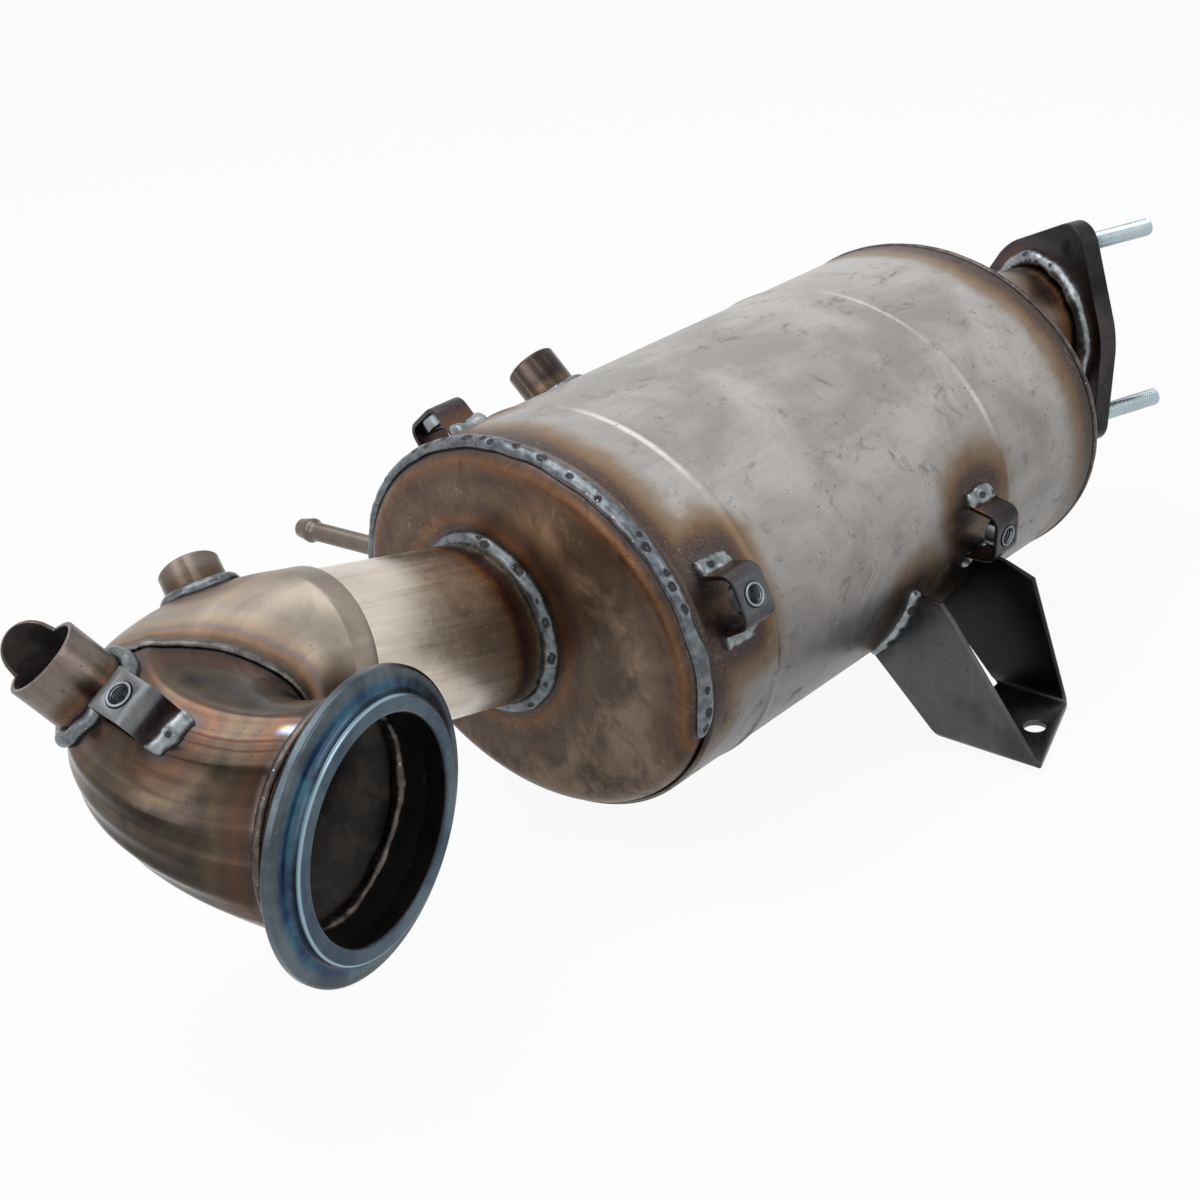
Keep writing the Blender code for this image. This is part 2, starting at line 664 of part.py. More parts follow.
# Hat brackets and their nuts
def hat(name, centre, normal, span, tree, welds=((-1, "weld_a"), (1, "weld_b"))):
    """A strip folded into a hat over the skin, with a nut through its crown and beads at its feet."""
    width = normal.cross(span)
    base = HAT_SPAN / 2 + HAT_LEAN
    feet = [seat(tree, centre + span * s, -normal)[0] + normal * HAT_LIFT for s in (-base, base)]
    crown = [centre + span * s + normal * HAT_HEIGHT for s in (-HAT_SPAN / 2, HAT_SPAN / 2)]
    path = [feet[0], *crown, feet[1]]
    bm = bmesh.new()
    rows = [[bm.verts.new(p + width * w) for p in path] for w in (HAT_WIDTH / 2, -HAT_WIDTH / 2)]
    for k in range(len(path) - 1):
        bm.faces.new((rows[0][k], rows[0][k + 1], rows[1][k + 1], rows[1][k]))
    folds = [e for e in bm.edges if len(e.link_faces) == 2]
    bmesh.ops.bevel(bm, geom=folds, offset=HAT_BEND, segments=2, profile=0.5, affect="EDGES")
    bm.normal_update()
    if sum((f.normal.dot(normal) for f in bm.faces), 0.0) < 0:
        bmesh.ops.reverse_faces(bm, faces=bm.faces)
    strip = thicken(from_bmesh(name, bm), HAT_SHEET, outwards=True)
    top = centre + normal * HAT_HEIGHT
    cut(strip, rod(name + "_hole", top, normal, NUT_COLLAR + GAP, -5 * MM, 5 * MM))
    finish(strip, "sheet")
    nut = turned(name.replace("hat_bracket", "weld_nut"), [
        (NUT_BORE, HAT_SHEET + NUT_PROUD), (NUT_COLLAR, HAT_SHEET + NUT_PROUD), (NUT_COLLAR, -GAP),
        (NUT_RADIUS, -GAP), (NUT_RADIUS, -NUT_HEIGHT), (NUT_BORE, -NUT_HEIGHT),
    ], top, normal, SMALL_SIDES)
    finish(nut, "zinc")
    for side, label in welds:
        reach = side * (base + HAT_SHEET + SMALL_BEAD + GAP)
        points = []
        normals = []
        for k in range(5):
            above = centre + span * reach + width * HAT_WIDTH * (k / 4 - 0.5)
            place, out = seat(tree, above, -normal)
            points.append(place)
            normals.append(out)
        bead(name + "_" + label, points, normals, SMALL_BEAD, closed=False)


for name, x, angle in HATS_ON_CAN:
    hat_normal = oval_normal(angle)
    hat(name, oval_point(x, 0, angle), hat_normal, hat_normal.cross(Vector((1, 0, 0))), can_tree)

hat_seat, hat_normal, _, _ = duct_tree.find_nearest(Vector((BEND_HAT_X, BEND_HAT_Y, BEND_HAT_Z)))
hat_span = (BEND_HAT_SPAN - hat_normal * BEND_HAT_SPAN.dot(hat_normal)).normalized()
hat("hat_bracket_elbow", hat_seat, hat_normal, hat_span, duct_tree, ((-1, "weld_a"),))


# Support bracket: near wall, web with its bolt hole, and far wall, folded from one sheet
def support_bracket():
    bm = bmesh.new()
    near = [bm.verts.new((FOOT_NEAR_X, y, z)) for y, z in scaled(FOOT_NEAR)]
    far = [bm.verts.new((FOOT_FAR_X, y, z)) for y, z in scaled(FOOT_FAR)]
    bm.faces.new(near)
    bm.faces.new(list(reversed(far)))
    bm.faces.new((near[2], near[1], far[1], far[2]))
    folds = [e for e in bm.edges if len(e.link_faces) == 2]
    bmesh.ops.bevel(bm, geom=folds, offset=FOOT_BEND, segments=3, profile=0.5, affect="EDGES")
    bmesh.ops.recalc_face_normals(bm, faces=bm.faces)
    web = min(bm.faces, key=lambda f: f.calc_center_median().z)
    if web.normal.z > 0:
        bmesh.ops.reverse_faces(bm, faces=bm.faces)
    piece = thicken(from_bmesh("support_bracket", bm), FOOT_SHEET)
    cut(piece, can_cutter)
    middle = Vector(((FOOT_NEAR_X + FOOT_FAR_X) / 2, FOOT_HOLE_Y, FOOT_Z))
    cut(piece, rod("foot_hole", middle, Vector((0, 0, 1)), FOOT_HOLE, -10 * MM, 10 * MM))
    return finish(piece, "sheet")


def scaled(points):
    return [(y * MM, z * MM) for y, z in points]


support_bracket()


def foot_weld(name, x):
    """A bead along a wall of the support bracket, round the underside of the can."""
    points = []
    normals = []
    for k in range(9):
        angle = FOOT_WELD_FROM + (FOOT_WELD_TO - FOOT_WELD_FROM) * k / 8
        points.append(oval_point(x, 0, angle))
        normals.append(oval_normal(angle))
    bead(name, points, normals, BEAD_RADIUS, closed=False)


foot_weld("support_bracket_weld_near", FOOT_NEAR_X - BEAD_RADIUS - GAP)
foot_weld("support_bracket_weld_far", FOOT_FAR_X + BEAD_RADIUS + GAP)


# Weld beads round the can and the pipes
def can_bead(name, x, grow, radius, first, last, steps):
    """A bead round the can's edge, from one angle to another; all the way round if they meet."""
    closed = last - first >= math.tau
    count = steps if closed else steps + 1
    angles = [first + (last - first) * k / steps for k in range(count)]
    points = [oval_point(x, grow, a) for a in angles]
    bead(name, points, [oval_normal(a) for a in angles], radius, closed=closed)


def corner_grow(radius):
    """How far out a bead lies on a cap's rounded corner, right beside the shell's edge."""
    reach = CAP_CORNER + radius + GAP
    along = radius + GAP + CAP_DEPTH - CAP_CORNER
    return math.sqrt(reach ** 2 - along ** 2) - CAP_CORNER - CAN_WALL - 2 * GAP - radius


front_x = -(CAP_BEAD + GAP)
can_bead("front_cap_weld", front_x, corner_grow(CAP_BEAD), CAP_BEAD, -FRONT_WELD_END, FRONT_WELD_END, 56)
rim_x = CAN_LENGTH + RIM_BEAD + GAP
can_bead("rear_cap_weld", rim_x, corner_grow(RIM_BEAD), RIM_BEAD, 0, math.tau, OVAL_SIDES)


def plane_bead(name, foot, axis, pipe_radius, face_normal, radius):
    """A bead round a pipe where it passes through a flat face."""
    points = []
    lift = face_normal * (GAP + radius)
    for point in ring(foot, axis, pipe_radius + GAP + radius):
        slide = (foot + lift - point).dot(face_normal) / axis.dot(face_normal)
        points.append(point + axis * slide - lift)
    bead(name, points, [face_normal] * len(points), radius)


plane_bead("inlet_pipe_weld", pipe_foot, pipe_axis, PIPE_RADIUS, Vector((-1, 0, 0)), BEAD_RADIUS)
plane_bead("outlet_flange_weld", outlet_centre, outlet_axis, OUTLET_RADIUS, -outlet_axis, BEAD_RADIUS)
plane_bead("outlet_pipe_weld", outlet_foot, outlet_axis, OUTLET_RADIUS, Vector((1, 0, 0)), SMALL_BEAD)


def seam_points():
    """Where the lines along the duct cross the seam's plane, with the way out of the duct there."""
    rings = duct_rings()
    points = []
    normals = []
    for k in range(ROUND_SIDES):
        line = [points_[k] for points_ in rings]
        for low, high in zip(line, line[1:]):
            a = (low - seam_point).dot(seam_normal)
            b = (high - seam_point).dot(seam_normal)
            if a > 0 >= b:
                points.append(low.lerp(high, a / (a - b)))
                break
    for point in points:
        normals.append(duct_tree.find_nearest(point)[1])
    return points, normals


stub_clear = STUB_RADIUS + COLLAR_GAP + 2 * SMALL_BEAD + 2 * GAP
cut(bead("elbow_seam_weld", *seam_points(), SEAM_BEAD),
    rod("seam_cutter", stub_foot, stub_axis, stub_clear, -10 * MM, STUB_DEPTH, ROUND_SIDES))
neck = bend_end + inlet_axis * NECK_STRAIGHT / 2
plane_points = ring(neck, inlet_axis, NECK_RADIUS)
bead("inlet_flange_weld", plane_points, [(p - neck).normalized() for p in plane_points], SEAM_BEAD)
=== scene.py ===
import math

import bmesh
import bpy
from mathutils import Matrix, Vector, noise
from mathutils.bvhtree import BVHTree


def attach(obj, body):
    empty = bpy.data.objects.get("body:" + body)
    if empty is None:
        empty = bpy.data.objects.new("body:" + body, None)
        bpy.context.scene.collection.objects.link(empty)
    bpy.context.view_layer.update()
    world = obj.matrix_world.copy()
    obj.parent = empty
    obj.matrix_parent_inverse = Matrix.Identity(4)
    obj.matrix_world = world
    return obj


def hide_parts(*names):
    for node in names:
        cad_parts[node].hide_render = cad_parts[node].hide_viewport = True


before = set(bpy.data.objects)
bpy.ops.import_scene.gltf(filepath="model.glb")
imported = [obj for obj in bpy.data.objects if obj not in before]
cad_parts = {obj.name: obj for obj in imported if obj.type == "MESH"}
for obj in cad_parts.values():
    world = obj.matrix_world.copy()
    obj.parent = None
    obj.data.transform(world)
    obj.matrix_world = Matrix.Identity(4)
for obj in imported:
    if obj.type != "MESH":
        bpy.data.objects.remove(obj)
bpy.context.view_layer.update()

mm = 0.001
dressed = bpy.data.collections.new("dressed_filter")
bpy.context.scene.collection.children.link(dressed)
print("frame loaded,", len(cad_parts), "nodes")


# Shader maths: a wire is a socket that can stand in a sum
class Wire:
    def __init__(self, paint, socket):
        self.paint = paint
        self.socket = socket

    def __add__(self, other):
        return self.paint.sum("ADD", self, other)

    def __radd__(self, other):
        return self.paint.sum("ADD", other, self)

    def __sub__(self, other):
        return self.paint.sum("SUBTRACT", self, other)

    def __rsub__(self, other):
        return self.paint.sum("SUBTRACT", other, self)

    def __mul__(self, other):
        return self.paint.sum("MULTIPLY", self, other)

    def __truediv__(self, other):
        return self.paint.sum("DIVIDE", self, other)


class Paint:
    def __init__(self, holder):  # a material or a world
        holder.use_nodes = True
        self.holder = holder
        self.nodes = holder.node_tree.nodes
        self.links = holder.node_tree.links

    def plug(self, socket, value):
        if isinstance(value, Wire):
            self.links.new(value.socket, socket)
        elif socket.type == "RGBA":
            socket.default_value = (*value, 1.0)
        else:
            socket.default_value = value

    def node(self, kind, settings, values, output=0):
        made = self.nodes.new(kind)
        for key, value in settings.items():
            if key == "stops":
                ramp = made.color_ramp
                while len(ramp.elements) < len(value):
                    ramp.elements.new(0.5)
                for stop, (position, colour) in zip(ramp.elements, value):
                    stop.position = position
                    stop.color = (*colour, 1.0)
            else:
                setattr(made, key, value)
        for key, value in values.items():
            self.plug(made.inputs[key], value)
        return Wire(self, made.outputs[output])

    def sum(self, operation, a, b):
        return self.node("ShaderNodeMath", {"operation": operation}, {0: a, 1: b})

    def ease(self, value, low, high):  # 0 below low, 1 above high, smooth between
        values = {"Value": value, "From Min": low, "From Max": high, "To Min": 0.0, "To Max": 1.0}
        return self.node("ShaderNodeMapRange", {"interpolation_type": "SMOOTHSTEP"}, values)

    def band(self, value, middle, half):  # 1 in the middle of the band, 0 beside it
        return self.ease(value, middle - half, middle) - self.ease(value, middle, middle + half)

    def blend(self, share, a, b, kind="MIX"):  # colours only
        settings = {"data_type": "RGBA", "blend_type": kind}
        return self.node("ShaderNodeMix", settings, {0: share, 6: a, 7: b}, 2)

    def scaled(self, colour, share):  # a colour made darker or lighter by one number
        return self.blend(1.0, colour, (share, share, share), "MULTIPLY")

    def cloud(self, size, detail=3.0, rough=0.5, warp=0.0, place=None):  # size of the patches in metres
        values = {"Vector": place or self.place, "Scale": 1 / size, "Detail": detail, "Roughness": rough}
        values["Distortion"] = warp
        return self.node("ShaderNodeTexNoise", {}, values, "Fac")

    def attribute(self, name, output="Fac"):
        return self.node("ShaderNodeAttribute", {"attribute_name": name}, {}, output)

    def stretch(self, scale, place=None):  # the place, squeezed along one way
        return self.node("ShaderNodeMapping", {}, {"Vector": place or self.place, "Scale": scale})

    def axis(self, place, letter):
        return self.node("ShaderNodeSeparateXYZ", {}, {"Vector": place}, letter)

    def bump(self, height, distance, strength=1.0, under=None):
        values = {"Height": height, "Distance": distance, "Strength": strength}
        if under:
            values["Normal"] = under
        return self.node("ShaderNodeBump", {}, values)

    def done(self, **sockets):
        names = {"colour": "Base Color", "roughness": "Roughness", "metallic": "Metallic",
                 "normal": "Normal"}
        for key, value in sockets.items():
            self.plug(self.nodes["Principled BSDF"].inputs[names[key]], value)
        return self.holder

    def seen(self):  # 1 where the eye, a reflection or a clear surface meets it
        camera, glossy, through = [
            self.node("ShaderNodeLightPath", {}, {}, "Is " + ray + " Ray")
            for ray in ("Camera", "Glossy", "Transmission")
        ]
        return self.sum("MAXIMUM", self.sum("MAXIMUM", camera, glossy), through)

    def cover(self, share, under, over, output):  # one shader laid over the one that is there
        first = Wire(self, self.nodes[under].outputs[0])
        mixed = self.node("ShaderNodeMixShader", {}, {0: share, 1: first, 2: over})
        self.plug(self.nodes[output].inputs["Surface"], mixed)


def newPaint(name):
    paint = Paint(bpy.data.materials.new(name))
    paint.place = paint.node("ShaderNodeTexCoord", {}, {}, "Object")
    return paint


# Oxide colours on hot steel, from the weld outwards, and how they wander
temper = {
    "shell": (
        (0.00, (0.085, 0.072, 0.064)), (0.12, (0.078, 0.054, 0.048)), (0.26, (0.110, 0.068, 0.052)),
        (0.42, (0.215, 0.135, 0.080)), (0.62, (0.290, 0.222, 0.166)), (0.82, (0.375, 0.334, 0.296)),
        (1.00, (0.420, 0.400, 0.382))),
    "cap": (
        (0.00, (0.060, 0.055, 0.060)), (0.08, (0.058, 0.038, 0.031)), (0.20, (0.170, 0.074, 0.034)),
        (0.32, (0.118, 0.062, 0.039)), (0.46, (0.078, 0.054, 0.043)), (0.68, (0.122, 0.082, 0.058)),
        (1.00, (0.125, 0.087, 0.063))),
    "pipe": (
        (0.00, (0.120, 0.105, 0.094)), (0.11, (0.320, 0.240, 0.150)), (0.22, (0.210, 0.158, 0.115)),
        (0.38, (0.098, 0.070, 0.108)), (0.47, (0.240, 0.130, 0.080)), (0.62, (0.520, 0.405, 0.270)),
        (1.00, (0.620, 0.545, 0.465))),
    "sleeve": (
        (0.00, (0.085, 0.072, 0.064)), (0.14, (0.140, 0.090, 0.062)), (0.26, (0.250, 0.160, 0.100)),
        (0.40, (0.215, 0.165, 0.150)), (0.55, (0.310, 0.240, 0.175)), (1.00, (0.340, 0.295, 0.250))),
    "elbow": (
        (0.00, (0.052, 0.047, 0.049)), (0.14, (0.070, 0.042, 0.034)), (0.32, (0.112, 0.058, 0.036)),
        (0.50, (0.082, 0.054, 0.042)), (0.70, (0.108, 0.076, 0.049)), (1.00, (0.092, 0.074, 0.058))),
    "dark": (
        (0.00, (0.100, 0.085, 0.070)), (0.22, (0.130, 0.068, 0.040)), (0.45, (0.060, 0.044, 0.047)),
        (1.00, (0.055, 0.055, 0.060))),
    "wobble": 5 * mm,
}


def steel(name, bare, settings):
    look = {
        "reach": 28 * mm, "stops": "shell", "tint": 1.0, "smudge": 0.3, "rough": 0.36, "streaks": 0.25,
        # under and high set the painted shade towards the bottom: how dark it gets, and from what height it
        # starts
        "patch": 0.30, "patchSize": 34 * mm, "dents": 0.12, "under": 0.55, "wear": 0.15, "grain": 0.3,
        # streakDark and streakLight: darker and lighter copies of the colour for the streaks, partly painted
        # shade and highlight
        "scratches": 0.3, "high": 60 * mm, "farWallShade": 0.0, "pits": 0.5, "streakDark": 0.70, "streakLight": 1.3,
        "streakSize": 3 * mm, "scratchColour": (0.42, 0.33, 0.25), "rootDark": 0.0,
        "shadeLinesAndGlint": (),
    }
    look.update(settings)
    paint = newPaint(name)
    local = paint.attribute("local", "Vector")
    patches = paint.cloud(look["patchSize"], 4, 0.6, 0.5)
    spots = paint.cloud(5 * mm, 4, 0.6)
    fine = paint.cloud(0.8 * mm, 2, 0.5)
    streaks = paint.cloud(look["streakSize"], 3, 0.55, 0.0, paint.stretch((1, 1, 0.045), local))
    height = paint.axis(paint.place, "Z") + (patches - 0.5) * (30 * mm)
    light = tuple(min(1.0, c * (1 + look["patch"])) for c in bare)
    dark = tuple(c * (1 - look["patch"]) for c in bare)
    colour = paint.blend(paint.ease(patches, 0.36, 0.64), dark, light)
    soot = paint.ease(paint.cloud(13 * mm, 5, 0.7, 0.8), 0.55, 0.72) * look["smudge"]
    colour = paint.blend(soot, colour, tuple(c * 0.42 for c in bare))
    away = paint.attribute("fromWeld")
    swirl = (paint.cloud(17 * mm, 3, 0.55, 0.6) - 0.5) * (2 * temper["wobble"])
    ripple = (paint.cloud(4 * mm, 2, 0.5) - 0.5) * (0.4 * temper["wobble"])
    near = (away + swirl * paint.ease(away, 0.0, 14 * mm) + ripple) / look["reach"]
    tint = paint.node("ShaderNodeValToRGB", {"stops": temper[look["stops"]]}, {"Fac": near}, "Color")
    share = (1 - paint.ease(near, 0.62, 1.05)) * look["tint"]
    colour = paint.blend(share, colour, tint)
    # Stretched streaks in a lighter and a darker copy of the colour: partly grain and stains in the metal,
    # partly painted highlight and shade stripes that stand in for reflections
    bright = paint.scaled(colour, look["streakLight"])
    dull = paint.scaled(colour, look["streakDark"])
    colour = paint.blend(paint.ease(streaks, 0.53, 0.68) * look["streaks"], colour, bright)
    colour = paint.blend(paint.ease(streaks, 0.47, 0.32) * look["streaks"], colour, dull)
    flecks = paint.ease(spots, 0.60, 0.74) * look["wear"]
    colour = paint.blend(flecks, colour, light)
    pits = paint.ease(paint.cloud(1.6 * mm, 2, 0.4), 0.70, 0.76)
    colour = paint.blend(pits * look["pits"], colour, tuple(c * 0.3 for c in bare))
    colour = paint.blend(paint.ease(fine, 0.35, 0.75) * 0.12, colour, dark)
    hairs = paint.band(paint.cloud(7 * mm, 2, 0.5, 2.5), 0.5, 0.005)
    scratch = hairs * paint.ease(paint.cloud(24 * mm, 2), 0.52, 0.62) * look["scratches"]
    colour = paint.blend(scratch, colour, look["scratchColour"])
    # painted shade: the colour is darkened towards the bottom, from the height high down to 65 mm below the
    # can's axis, where it is multiplied by under
    low = paint.ease(height, look["high"], -65 * mm)
    colour = paint.blend(low, colour, paint.scaled(colour, look["under"]))
    if look["farWallShade"]:  # painted shade: the sheet is painted nearly black from 158 to 174 mm along the can and higher than 76 mm below its axis, for the inside of the support bracket's far wall; part of the rear near hat bracket lies there too
        far = paint.ease(paint.axis(paint.place, "X"), 158 * mm, 174 * mm)
        above = paint.ease(paint.axis(paint.place, "Z"), -82 * mm, -76 * mm)
        colour = paint.blend(far * above * look["farWallShade"], colour, (0.012, 0.011, 0.012))
    if look["shadeLinesAndGlint"]:
        # painted shade: dark lines painted along the bend at the listed angles round its section, to bring
        # out its grooves
        around = paint.sum("ARCTAN2", paint.axis(local, "Y"), paint.axis(local, "X")) + (patches - 0.5) * 0.12
        reached = paint.ease(paint.axis(local, "Z"), 74 * mm, 80 * mm)
        for angle, half in look["shadeLinesAndGlint"]:
            line = paint.band(around, math.radians(angle), math.radians(half)) * reached
            colour = paint.blend(line * 0.8, colour, (0.046, 0.020, 0.016))
        # painted highlight: a small bright spot in blue and orange oxide colours, near the weld at the flange
        # end of the bend
        atEnd = paint.ease(away, 6 * mm, 2 * mm) * paint.ease(paint.axis(local, "Z"), 92 * mm, 98 * mm)
        glint = paint.band(around, math.radians(60), math.radians(5)) * atEnd
        glow = paint.blend(paint.ease(spots, 0.4, 0.6), (0.30, 0.42, 0.75), (0.80, 0.55, 0.32))
        colour = paint.blend(glint * 0.8, colour, glow)
    if look["rootDark"]:
        root = 1 - paint.ease(paint.axis(local, "Z"), 0.5 * mm, 4 * mm)
        colour = paint.blend(root * look["rootDark"], colour, (0.030, 0.028, 0.028))
    rough = look["rough"] + (patches - 0.5) * 0.20 + (spots - 0.5) * 0.14 + (streaks - 0.5) * 0.12
    rough = rough + soot * 0.3 + pits * 0.2 - scratch * 0.2
    normal = paint.bump(streaks, 0.05 * mm, look["grain"])
    normal = paint.bump(fine, 0.02 * mm, look["grain"], normal)
    normal = paint.bump(patches, 1.2 * mm, look["dents"], normal)
    normal = paint.bump(1 - pits * look["pits"], 0.10 * mm, 0.6, normal)
    return paint.done(colour=colour, roughness=rough, metallic=1.0, normal=normal)


def weldMetal(name, light, dark):
    paint = newPaint(name)
    lumps = paint.cloud(4.5 * mm, 3, 0.55, 0.3)
    fine = paint.cloud(0.8 * mm, 3, 0.6)
    stain = paint.ease(paint.cloud(8 * mm, 4, 0.6, 0.7), 0.50, 0.72)
    pit = paint.attribute("pit")
    crater = paint.ease(pit + (paint.cloud(1.7 * mm, 2, 0.5) - 0.5) * 0.45, 0.18, 0.46)
    colour = paint.blend(paint.ease(lumps, 0.34, 0.66), dark, light)
    colour = paint.blend(stain * 0.40, colour, (0.075, 0.055, 0.045))
    colour = paint.blend(crater * 0.88, colour, (0.020, 0.019, 0.021))
    colour = paint.blend(paint.ease(pit, 0.80, 0.96) * 0.5, colour, (0.110, 0.118, 0.125))
    specks = paint.ease(paint.cloud(1.5 * mm, 1, 0.4), 0.72, 0.77)
    colour = paint.blend(specks * 0.6, colour, (0.60, 0.62, 0.64))
    rough = 0.30 + (lumps - 0.5) * 0.16 + (fine - 0.5) * 0.14 + crater * 0.2 + stain * 0.12
    normal = paint.bump(lumps, 0.5 * mm, 0.40)
    normal = paint.bump(fine, 0.05 * mm, 0.4, normal)
    return paint.done(colour=colour, roughness=rough, metallic=0.95, normal=normal)


def sooty(name):  # the inside of hot pipes
    paint = newPaint(name)
    lumps = paint.cloud(9 * mm, 4, 0.6, 0.4)
    fine = paint.cloud(1.2 * mm, 3, 0.6)
    colour = paint.blend(paint.ease(lumps, 0.35, 0.70), (0.010, 0.009, 0.009), (0.045, 0.036, 0.030))
    rough = 0.62 + (lumps - 0.5) * 0.3 + (fine - 0.5) * 0.1
    normal = paint.bump(lumps, 0.8 * mm, 0.3)
    normal = paint.bump(fine, 0.08 * mm, 0.5, normal)
    return paint.done(colour=colour, roughness=rough, metallic=0.6, normal=normal)


def flangeSteel(name):  # blued face, dark back with turned rings
    paint = newPaint(name)
    local = paint.attribute("local", "Vector")
    flat = paint.node("ShaderNodeVectorMath", {"operation": "MULTIPLY"}, {0: local, 1: (1, 1, 0)})
    across = paint.node("ShaderNodeVectorMath", {"operation": "LENGTH"}, {0: flat}, "Value")
    along = paint.axis(local, "Z")
    patches = paint.cloud(26 * mm, 4, 0.6, 0.5)
    fine = paint.cloud(0.9 * mm, 3, 0.6)
    wander = (patches - 0.5) * (3 * mm)
    colour = paint.blend(paint.ease(patches, 0.36, 0.66), (0.050, 0.064, 0.076), (0.105, 0.130, 0.150))
    blue = paint.band(across + wander, 44.8 * mm, 4.0 * mm) * paint.ease(along, -2 * mm, 0.0)
    shade = paint.blend(paint.ease(patches, 0.40, 0.60), (0.010, 0.026, 0.075), (0.035, 0.120, 0.180))
    colour = paint.blend(blue * 0.9, colour, shade)
    lip = paint.ease(along, 2.6 * mm, 4.2 * mm)
    lipShade = paint.blend(paint.ease(patches, 0.35, 0.65), (0.026, 0.050, 0.082), (0.070, 0.110, 0.138))
    colour = paint.blend(lip * 0.85, colour, lipShade)
    # painted highlight: a bright blue-grey ring along the lip's outer top edge
    bright = lip * paint.band(across + wander * 0.1, 42.5 * mm, 0.7 * mm)
    colour = paint.blend(bright * 0.8, colour, (0.36, 0.50, 0.58))
    back = paint.ease(along, -3.2 * mm, -4.4 * mm)
    rings = paint.sum("PINGPONG", across + fine * (0.4 * mm), 1.6 * mm) / (1.6 * mm)
    brown = paint.blend(rings, (0.060, 0.038, 0.030), (0.165, 0.122, 0.094))
    colour = paint.blend(back * 0.92, colour, brown)
    inside = 1 - paint.ease(across, 36.9 * mm, 37.3 * mm)
    colour = paint.blend(inside, colour, (0.042, 0.041, 0.043))
    rub = paint.ease(paint.cloud(6 * mm, 5, 0.7, 1.2), 0.58, 0.70)
    colour = paint.blend(rub * 0.25, colour, (0.24, 0.27, 0.29))
    rough = 0.27 + (patches - 0.5) * 0.2 + (fine - 0.5) * 0.12 + back * 0.10 + inside * 0.12
    normal = paint.bump(fine, 0.03 * mm, 0.4)
    normal = paint.bump(rings, 0.10 * mm, 0.25, normal)
    return paint.done(colour=colour, roughness=rough, metallic=1.0, normal=normal)


def ceramic(name):
    paint = newPaint(name)
    pitch = 1.6 * mm
    across = paint.sum("PINGPONG", paint.axis(paint.place, "Y"), pitch / 2) / (pitch / 2)
    upward = paint.sum("PINGPONG", paint.axis(paint.place, "Z"), pitch / 2) / (pitch / 2)
    walls = paint.ease(paint.sum("MAXIMUM", across, upward), 0.70, 0.86)
    soot = paint.cloud(12 * mm, 4, 0.6)
    body = paint.blend(soot, (0.30, 0.25, 0.19), (0.46, 0.40, 0.31))
    colour = paint.blend(walls, (0.03, 0.028, 0.025), body)
    rough = 0.86 + (soot - 0.5) * 0.2
    return paint.done(colour=colour, roughness=rough, metallic=0.0, normal=paint.bump(walls, 0.5 * mm, 0.9))


def fibreMat(name):
    paint = newPaint(name)
    fibres = paint.cloud(1.4 * mm, 4, 0.7, 1.5, paint.stretch((0.3, 1, 1)))
    lumps = paint.cloud(6 * mm, 3, 0.6)
    colour = paint.blend(fibres, (0.55, 0.52, 0.46), (0.86, 0.84, 0.78))
    colour = paint.blend(lumps * 0.4, colour, (0.62, 0.56, 0.47))
    normal = paint.bump(fibres, 0.4 * mm, 0.8)
    return paint.done(colour=colour, roughness=0.88 + (lumps - 0.5) * 0.16, metallic=0.0, normal=normal)


